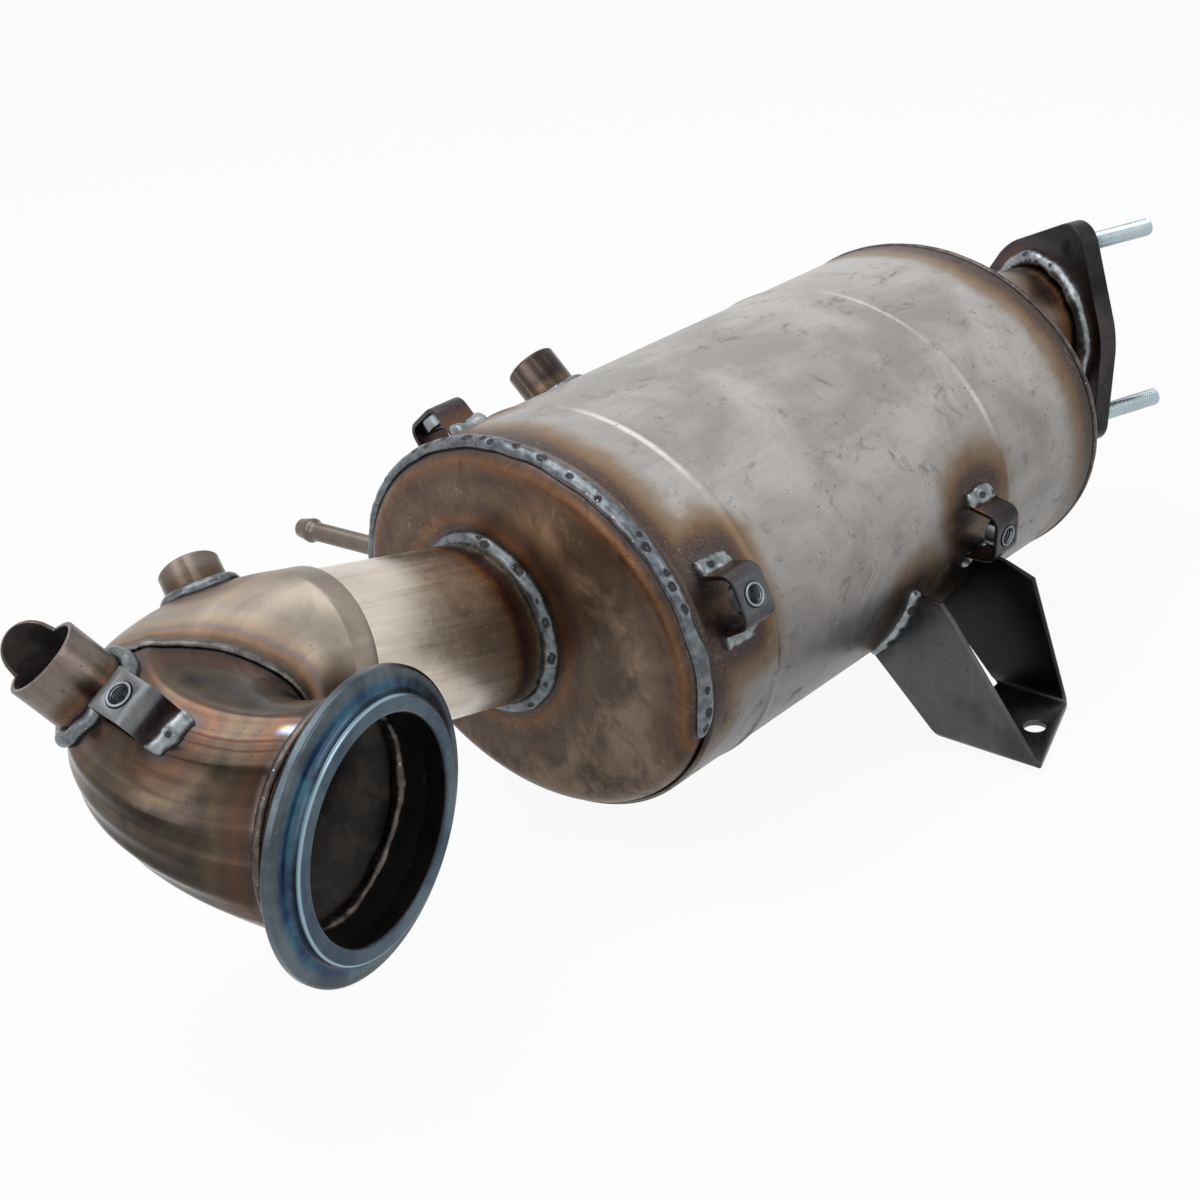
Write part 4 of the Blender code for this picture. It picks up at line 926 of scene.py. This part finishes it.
# Support bracket, a folded U under the can
foot = {
    "sheet": 2.5 * mm, "nearX": 126 * mm, "farX": 178 * mm, "bend": 4 * mm, "hole": 4.5 * mm,
    "holeY": -122 * mm, "z": -84 * mm, "weldOut": 1.2 * mm,
    "near": ((-60, -50), (-93.5, -84), (-140, -84), (-100.7, -27.5), (-96, -22), (-76, -20)),
    "far": ((-60, -50), (-90, -84), (-122, -84), (-107, -29.5), (-95, -25), (-76, -20)),
}
for footName, lean in (("near", -1), ("far", 1)):
    footX = foot[footName + "X"] + lean * foot["weldOut"]
    footPath = canPath(footX, 0, -104, -134, 90, lean=lean * run["tilt"])
    lay("support_bracket_weld_" + footName, footPath, False)
print("welds made,", len(welds))


def weldTree():
    gathered = bmesh.new()
    for weld in welds:
        gathered.from_mesh(weld.data)
    tree = BVHTree.FromBMesh(gathered)
    gathered.free()
    return tree


allWelds = weldTree()


def markHeat(made, home=None, most=60 * mm):  # how far each point is from a weld, and its own place
    layer = made.data.attributes.new("fromWeld", "FLOAT", "POINT")
    own = made.data.attributes.new("local", "FLOAT_VECTOR", "POINT")
    for k, v in enumerate(made.data.vertices):
        found = allWelds.find_nearest(v.co, most)
        layer.data[k].value = found[3] if found[3] is not None else most
        own.data[k].vector = home(v.co) if home else v.co
    return made


def seenFrom(point, axis):  # a turned piece's own place: +Z along its axis
    home = standAt(point, axis).inverted()
    return lambda co: home @ co


def finished(name, bm, paint, node, point, axis, **more):
    return markHeat(piece(name, bm, paint, node, **more), seenFrom(point, axis))


def alongCan(co):  # as if the can lay along +Z
    return Vector((co.z, co.y, co.x))


# The can itself
bm = sweep(bmesh.new(), [canPlace(x, shellGrow(x)) for x in shellStations()], can["sides"])
openUnder(bm, bossBFoot, bossBAxis, bosses["opening"])
markHeat(piece("can_shell_rolled", bm, "shell", "can_shell", wall=can["wall"], inner="soot"), alongCan)

caps = {
    "depth": 8 * mm, "corner": 8 * mm, "skirt": 5 * mm, "wall": 1.8 * mm, "cornerSteps": 10, "faceSteps": 12,
    "gap": 0.3 * mm,
}


def capPiece(name, node, rim, inward, hole):
    skirt = -(can["wall"] + caps["gap"])
    places = [canPlace(rim + inward * caps["skirt"], skirt)]
    for k in range(caps["cornerSteps"] + 1):
        a = math.radians(90) * k / caps["cornerSteps"]
        x = caps["corner"] - caps["depth"] - caps["corner"] * math.sin(a)
        places.append(canPlace(rim + inward * x, skirt - caps["corner"] * (1 - math.cos(a))))
    last = places[-1]
    for k in range(1, caps["faceSteps"] + 1):
        share = k / caps["faceSteps"]
        places.append(Matrix([last[row].lerp(hole[row], share) for row in range(4)]))
    bm = sweep(bmesh.new(), places, can["sides"])
    faces = sorted(bm.faces, key=lambda f: f.calc_center_median().x * inward)
    if faces[0].normal.x * inward > 0:
        bmesh.ops.reverse_faces(bm, faces=bm.faces)
    return markHeat(piece(name, bm, "cap", node, wall=caps["wall"], inner="soot"))


def holePlace(footPoint, axis, radius):  # the slanted hole a round pipe needs in a flat face
    rise = Vector((0, axis.y, axis.z))
    tall = radius / abs(axis.x) * math.sqrt(axis.x ** 2 + axis.z ** 2)
    wide = radius / abs(axis.x) * math.sqrt(axis.x ** 2 + axis.y ** 2)
    rows = ((0, 0, 1, footPoint.x), (wide, 0, 0, footPoint.y), (0, tall, 0, footPoint.z), (0, 0, 0, 1))
    return Matrix(rows)


frontHole = holePlace(duct["pipeFoot"], pipeAxis, duct["pipeRadius"] + caps["gap"])
rearHole = holePlace(outletFoot, outletAxis, outlet["radius"] + caps["gap"])
capPiece("front_cap_pressed", "front_cap", 0.0, 1, frontHole)
capPiece("rear_cap_pressed", "rear_cap", can["length"], -1, rearHole)
print("can made")


# Pipes
def pipe(name, node, start, axis, radius, wall, low, high, paint):
    count = int((high - low) / (2.5 * mm))
    bm = sweep(bmesh.new(), tubePlaces(start, axis, radius, low, high, count), 96)
    return finished(name, bm, paint, node, start, axis, wall=wall, edge=0.3 * mm, inner="soot")


pipe("inlet_pipe_drawn", "inlet_pipe", duct["pipeFoot"], pipeAxis, duct["pipeRadius"], duct["pipeWall"],
     -duct["pipeInside"], duct["pipeLength"], "pipe")
outletBack = (outletFoot - outlet["centre"]).length + outlet["inside"]
pipe("outlet_pipe_drawn", "outlet_pipe", outlet["centre"], outletAxis, outlet["radius"], outlet["wall"],
     -outletBack, outlet["inside"], "outletPipe")


def ductHalf(name, node, paint, side, opening, edge):
    bm = ductSkin()
    everything = bm.verts[:] + bm.edges[:] + bm.faces[:]
    point = duct["seamPoint"] + seamNormal * (side * duct["seamGap"] / 2)
    bmesh.ops.bisect_plane(bm, geom=everything, plane_co=point, plane_no=seamNormal * side, clear_inner=True)
    openUnder(bm, *opening)
    return markHeat(piece(name, bm, paint, node, wall=duct["wall"], edge=edge, inner="soot"), ductLocal)


stubSeat, _ = seat(ductTree, stub["centre"], -stubAxis)
bossOpening = (bossAFoot, bossAAxis, bosses["opening"])
stubOpening = (stubSeat, stubAxis, stub["opening"])
ductHalf("transition_sleeve_drawn", "transition_sleeve", "sleeve", 1, bossOpening, 0.75 * mm)
ductHalf("inlet_elbow_pressed", "inlet_elbow", "elbow", -1, stubOpening, 0.2 * mm)
print("duct made")

# Inlet flange: lip, flat rim and conical back for a clamp ring
flange = {
    "bore": 36.7 * mm, "lip": 42.9 * mm, "lipHeight": 4.4 * mm, "rim": 51 * mm, "thick": 3.2 * mm,
    "neck": 38.6 * mm, "depth": 14 * mm, "edge": 0.8 * mm,
}


def flangeProfile():
    edge, bore, lip, rim = flange["edge"], flange["bore"], flange["lip"], flange["rim"]
    top, back, neck, deep = flange["lipHeight"], -flange["thick"], flange["neck"], -flange["depth"]
    return [
        (bore, top - edge), (bore + edge, top), (lip - edge, top), (lip, top - edge), (lip, 1.6 * mm),
        (lip + 0.5 * mm, 0.5 * mm), (lip + 1.6 * mm, 0), (rim - edge, 0), (rim, -edge), (rim, back),
        (rim - edge, back - edge), (neck + 1.6 * mm, deep + 3.2 * mm), (neck, deep + 2.0 * mm), (neck, deep),
        (bore, deep),
    ]


flangeTurned = lathe(flangeProfile(), standAt(duct["inletCentre"], inletAxis), 128)
finished("inlet_flange_turned", flangeTurned, "flange", "inlet_flange", duct["inletCentre"], inletAxis,
         edge=0.35 * mm)


# Sensor bosses
def bossPiece(name, node, footPoint, axis, height, tree, paint):
    chamfer, radius, bore = bosses["chamfer"], bosses["radius"], bosses["bore"]
    low = -chamfer
    half = bosses["pitch"] / 2
    profile = [(bore + chamfer, height), (radius - chamfer, height), (radius, height - chamfer)]
    profile += [(radius, low), (bore, low)]
    z = low
    while z < height - 4 * half:
        z += half
        deep = bosses["thread"] if int(z / half) % 2 else 0.0
        profile.append((bore + deep, z + half))
    bm = lathe(profile, standAt(footPoint, axis), 64)
    settle(bm, footPoint, axis, low, tree, bosses["sink"])
    return finished(name, bm, paint, node, footPoint, axis, edge=0.2 * mm)


bossPiece("sensor_boss_inlet_turned", "sensor_boss_inlet", bossAFoot, bossAAxis, bosses["inletHeight"],
          ductTree, "boss")
bossPiece("sensor_boss_can_turned", "sensor_boss_can", bossBFoot, bossBAxis, bosses["canHeight"], canTree,
          "bossDark")


# Open stub with its tongue
def stubPiece():
    rimHeight = (stub["centre"] - stubSeat).dot(stubAxis)
    places = tubePlaces(stubSeat, stubAxis, stub["radius"], 0.0, rimHeight, stub["rings"], stub["side"])
    bm = sweep(bmesh.new(), places, stub["sides"])
    flat = turnTo(stubAxis, stub["side"]).inverted()
    for v in bm.verts:
        local = flat @ (v.co - stubSeat)
        share = local.z / rimHeight
        turnOf = abs(math.atan2(local.y, local.x)) / math.radians(stub["half"])
        rise = stub["tongue"] * math.sqrt(max(0.0, 1 - turnOf * turnOf)) * max(0.0, share) ** 2
        place, _ = seat(ductTree, v.co - stubAxis * local.z, -stubAxis)
        lowest = (place - (v.co - stubAxis * local.z)).dot(stubAxis) - stub["sink"]
        v.co += stubAxis * (rise + lowest * (1 - share))
    return finished("side_stub_drawn", bm, "boss", "side_stub", stubSeat, stubAxis, wall=stub["wall"],
                    edge=0.3 * mm, inner="soot")


stubPiece()


def nipplePiece():
    r, bore, barb, end = nipple["radius"], nipple["bore"], nipple["barb"], nipple["length"]
    low = -nipple["inside"]
    profile = [
        (bore, end), (r - 0.4 * mm, end), (r, end - 0.6 * mm), (barb - 0.2 * mm, end - 1.45 * r),
        (barb, end - 1.6 * r), (barb, end - 1.9 * r), (barb - 0.3 * mm, end - 2.05 * r),
        (r + 0.1 * mm, end - 2.3 * r), (r, end - 2.6 * r), (r, low), (bore, low),
    ]
    bm = lathe(profile, standAt(nippleFoot, nippleAxis), 40)
    settle(bm, nippleFoot, nippleAxis, low, canTree, nipple["sink"])
    return finished("pressure_pipe_turned", bm, "nipple", "pressure_pipe", nippleFoot, nippleAxis,
                    edge=0.15 * mm)


nipplePiece()
print("flange, bosses, stub and pressure pipe made")


# Outlet plate with three lugs
def platePiece():
    reach, lug, disc = outlet["lugReach"], outlet["lugRadius"], outlet["plateRadius"]
    flank = math.acos((disc - lug) / reach)
    between = math.tau / 3 - 2 * flank
    bm = bmesh.new()
    outline = []
    for k in range(3):
        middle = math.radians(outlet["lugTurn"]) + math.tau * k / 3
        for j in range(19):
            a = middle - flank + flank * j / 9
            outline.append((reach * math.cos(middle) + lug * math.cos(a),
                            reach * math.sin(middle) + lug * math.sin(a)))
        for j in range(1, 12):
            a = middle + flank + between * j / 12
            outline.append((disc * math.cos(a), disc * math.sin(a)))
    place = standAt(outlet["centre"], outletAxis)
    rim = [bm.verts.new((up, side, 0)) for side, up in outline]
    rimEdges = [bm.edges.new(pair) for pair in zip(rim, rim[1:] + rim[:1])]
    bore = bmesh.ops.create_circle(bm, segments=len(rim), radius=outlet["radius"] + 0.3 * mm)["verts"]
    boreEdges = [e for e in {e for v in bore for e in v.link_edges}]
    bmesh.ops.bridge_loops(bm, edges=rimEdges + boreEdges)
    made = bmesh.ops.extrude_face_region(bm, geom=bm.faces[:])["geom"]
    top = [g for g in made if isinstance(g, bmesh.types.BMVert)]
    bmesh.ops.translate(bm, vec=(0, 0, outlet["thick"]), verts=top)
    bmesh.ops.recalc_face_normals(bm, faces=bm.faces)
    bmesh.ops.transform(bm, matrix=place, verts=bm.verts)
    return finished("outlet_flange_plate", bm, "plate", "outlet_flange", outlet["centre"], outletAxis,
                    edge=0.7 * mm)


platePiece()


def threadedRod(name, node, start, axis):  # plain in the plate, threaded beyond it
    pitch, plain = outlet["pitch"], outlet["thick"] + 1 * mm
    high = outlet["thick"] + outlet["studOut"]
    places = tubePlaces(start, axis, outlet["studRadius"], 0.0, high, int(high / (pitch / 6)))
    bm = sweep(bmesh.new(), places, 24, capped=True)
    turnRod = turnTo(axis)
    flat = turnRod.inverted()
    for v in bm.verts:
        local = flat @ (v.co - start)
        around = math.atan2(local.y, local.x) / math.tau
        phase = (local.z / pitch - around) % 1.0
        cut = outlet["thread"] * (1 - abs(2 * phase - 1)) if local.z > plain else 0.0
        tip = max(0.0, 1.0 * mm - (high - local.z))
        radial = Vector((local.x, local.y, 0))
        if radial.length > 0:
            v.co -= turnRod @ (radial.normalized() * max(cut, tip))
    return finished(name, bm, "zinc", node, start, axis, smooth=50)


plateTurn = standAt(outlet["centre"], outletAxis)
for k, studName in enumerate(("upper_stud", "far_stud", "lower_stud")):
    a = math.radians(outlet["lugTurn"]) + math.tau * k / 3
    studFoot = plateTurn @ Vector((outlet["lugReach"] * math.sin(a), outlet["lugReach"] * math.cos(a), 0))
    threadedRod(studName + "_threaded", studName, studFoot, outletAxis)
print("outlet made")


# Hat brackets: a strip folded over the skin
def cutHole(bm, flat, place, radius):  # gives a flat face a round hole
    edges = flat.edges[:]
    bmesh.ops.delete(bm, geom=[flat], context="FACES_ONLY")
    ring = bmesh.ops.create_circle(bm, segments=40, radius=radius, matrix=place)["verts"]
    edges += list({e for v in ring for e in v.link_edges})
    bmesh.ops.triangle_fill(bm, edges=edges, use_beauty=True)


def hatPiece(name, centre, normal, span, tree):
    width = normal.cross(span)
    base = hats["span"] / 2 + hats["lean"]
    feet = [seat(tree, centre + span * s, -normal)[0] + normal * hats["lift"] for s in (-base, base)]
    crown = [centre + span * s + normal * hats["height"] for s in (-hats["span"] / 2, hats["span"] / 2)]
    path = [feet[0], *crown, feet[1]]
    bm = bmesh.new()
    line = [bm.verts.new(p + width * hats["width"] / 2) for p in path]
    lines = [bm.edges.new(pair) for pair in zip(line, line[1:])]
    made = bmesh.ops.extrude_edge_only(bm, edges=lines)["geom"]
    moved = [g for g in made if isinstance(g, bmesh.types.BMVert)]
    bmesh.ops.translate(bm, vec=-width * hats["width"], verts=moved)
    folds = [e for e in bm.edges if len(e.link_faces) == 2]
    bmesh.ops.bevel(bm, geom=folds, offset=hats["bend"], segments=6, profile=0.5, affect="EDGES", material=-1)
    top = centre + normal * hats["height"]
    crownFace = min(bm.faces, key=lambda f: (f.calc_center_median() - top).length)
    cutHole(bm, crownFace, standAt(top, normal), hats["collar"] + 0.2 * mm)
    bmesh.ops.recalc_face_normals(bm, faces=bm.faces)
    if sum((f.normal.dot(normal) for f in bm.faces), 0.0) < 0:
        bmesh.ops.reverse_faces(bm, faces=bm.faces)
    sheet = "strap" if name == "elbow" else "sheet"
    markHeat(piece("hat_bracket_" + name + "_folded", bm, sheet, "hat_bracket_" + name, wall=hats["sheet"],
                   grow=1.0, edge=0.35 * mm))
    collar, nutRadius, under = hats["collar"], hats["nutRadius"], -0.1 * mm
    collarTop = hats["sheet"] + hats["proud"]
    profile = [(hats["bore"] + 0.5 * mm, collarTop), (collar, collarTop), (collar, under)]
    profile += [(nutRadius, under), (nutRadius, -hats["nutHeight"])]
    turns = int((collarTop + hats["nutHeight"]) / hats["threadPitch"]) * 2
    for k in range(turns):
        radius = hats["bore"] + (hats["threadDeep"] if k % 2 else 0.0)
        profile.append((radius, -hats["nutHeight"] + hats["threadPitch"] * k / 2))
    nut = lathe(profile, standAt(top, normal), 36)
    markHeat(piece("weld_nut_" + name + "_turned", nut, "nut", "weld_nut_" + name, edge=0.25 * mm))


for hatName, centre, out, span, tree, feet in hatPlaces:
    hatPiece(hatName, centre, out, span, tree)


def footPiece():
    bm = bmesh.new()
    near = [bm.verts.new((foot["nearX"], y * mm, z * mm)) for y, z in foot["near"]]
    far = [bm.verts.new((foot["farX"], y * mm, z * mm)) for y, z in foot["far"]]
    bm.faces.new(near)
    bm.faces.new(list(reversed(far)))
    bm.faces.new((near[2], near[1], far[1], far[2]))
    folds = [e for e in bm.edges if len(e.link_faces) == 2]
    bmesh.ops.bevel(bm, geom=folds, offset=foot["bend"], segments=8, profile=0.5, affect="EDGES", material=-1)
    web = min(bm.faces, key=lambda f: f.calc_center_median().z)
    holeAt = Matrix.Translation(((foot["nearX"] + foot["farX"]) / 2, foot["holeY"], foot["z"]))
    cutHole(bm, web, holeAt, foot["hole"])
    bmesh.ops.recalc_face_normals(bm, faces=bm.faces)
    web = min(bm.faces, key=lambda f: f.calc_center_median().z)
    if web.normal.z > 0:
        bmesh.ops.reverse_faces(bm, faces=bm.faces)
    return markHeat(piece("support_bracket_folded", bm, "sheet", "support_bracket", wall=foot["sheet"],
                          edge=0.4 * mm))


footPiece()
print("brackets made")

for nodeName in ("catalyst_brick", "filter_brick"):
    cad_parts[nodeName].data.materials[0] = paints["ceramic"]
for nodeName in ("catalyst_mat", "filter_mat"):
    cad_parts[nodeName].data.materials[0] = paints["mat"]

# Floor, light and camera
studio = {
    "floorZ": -86.3 * mm, "floorSize": 14.0, "floorGlow": 0.93, "lens": 57, "sensor": 36,
    "floorGrain": 0.25, "floorGreys": ((0.86, 0.86, 0.86), (0.90, 0.90, 0.90)),
    "skyColour": (0.80, 0.82, 0.85), "skyStrength": 0.5, "cameraPlace": (-0.42511, -0.4779, 0.31701),
    "right": (0.6776, -0.7275, -0.1077), "up": (0.3876, 0.2288, 0.8930), "back": (-0.6250, -0.6469, 0.4370),
}


def floorPaint():
    paint = newPaint("pale_floor")
    grain = paint.cloud(studio["floorGrain"], 2)
    colour = paint.blend(grain, *studio["floorGreys"])
    paint.done(colour=colour, roughness=0.9 + grain * 0.05, metallic=0.0)
    glow = paint.node("ShaderNodeEmission", {}, {"Color": (1, 1, 1), "Strength": 1.0})
    paint.cover(paint.seen() * studio["floorGlow"], "Principled BSDF", glow, "Material Output")
    return paint.holder


floorMesh = bmesh.new()
bmesh.ops.create_grid(floorMesh, x_segments=2, y_segments=2, size=studio["floorSize"] / 2)
bmesh.ops.translate(floorMesh, vec=(0, 0, studio["floorZ"]), verts=floorMesh.verts)
floorData = bpy.data.meshes.new("floor")
floorMesh.to_mesh(floorData)
floorMesh.free()
floor = bpy.data.objects.new("floor", floorData)
floorData.materials.append(floorPaint())
bpy.context.scene.collection.objects.link(floor)

sky = Paint(bpy.data.worlds.new("studio"))
bpy.context.scene.world = sky.holder
sky.plug(sky.nodes["Background"].inputs["Color"], studio["skyColour"])
sky.plug(sky.nodes["Background"].inputs["Strength"], studio["skyStrength"])
white = sky.node("ShaderNodeBackground", {}, {"Color": (1, 1, 1), "Strength": 1.0})
sky.cover(sky.seen(), "Background", white, "World Output")

lamps = (
    ("topSoft", (-0.10, 0.30, 1.30), (0.05, 0.0, 0.0), 1.3, 1.2, 11.0),
    ("leftSoft", (-1.30, 0.10, 0.80), (-0.05, 0.0, 0.0), 0.7, 0.9, 4.0),
    ("frontSoft", (0.45, -1.30, 0.90), (0.05, 0.0, 0.0), 0.8, 0.6, 2.5),
)
for lampName, lampPlace, aim, wide, tall, power in lamps:
    lamp = bpy.data.lights.new(lampName, "AREA")
    lamp.shape = "RECTANGLE"
    lamp.size = wide
    lamp.size_y = tall
    lamp.energy = power
    holder = bpy.data.objects.new(lampName, lamp)
    holder.location = lampPlace
    holder.rotation_euler = (Vector(aim) - Vector(lampPlace)).to_track_quat("-Z", "Y").to_euler()
    bpy.context.scene.collection.objects.link(holder)

lens = bpy.data.cameras.new("camera")
lens.lens = studio["lens"]
lens.sensor_width = studio["sensor"]
lens.clip_start = 0.01
lens.clip_end = 60
camera = bpy.data.objects.new("camera", lens)
turned = Matrix((studio["right"], studio["up"], studio["back"])).transposed()
camera.matrix_world = Matrix.Translation(studio["cameraPlace"]) @ turned.to_4x4()
bpy.context.scene.collection.objects.link(camera)
bpy.context.scene.camera = camera
bpy.context.scene.view_settings.view_transform = "Standard"
print("studio made")
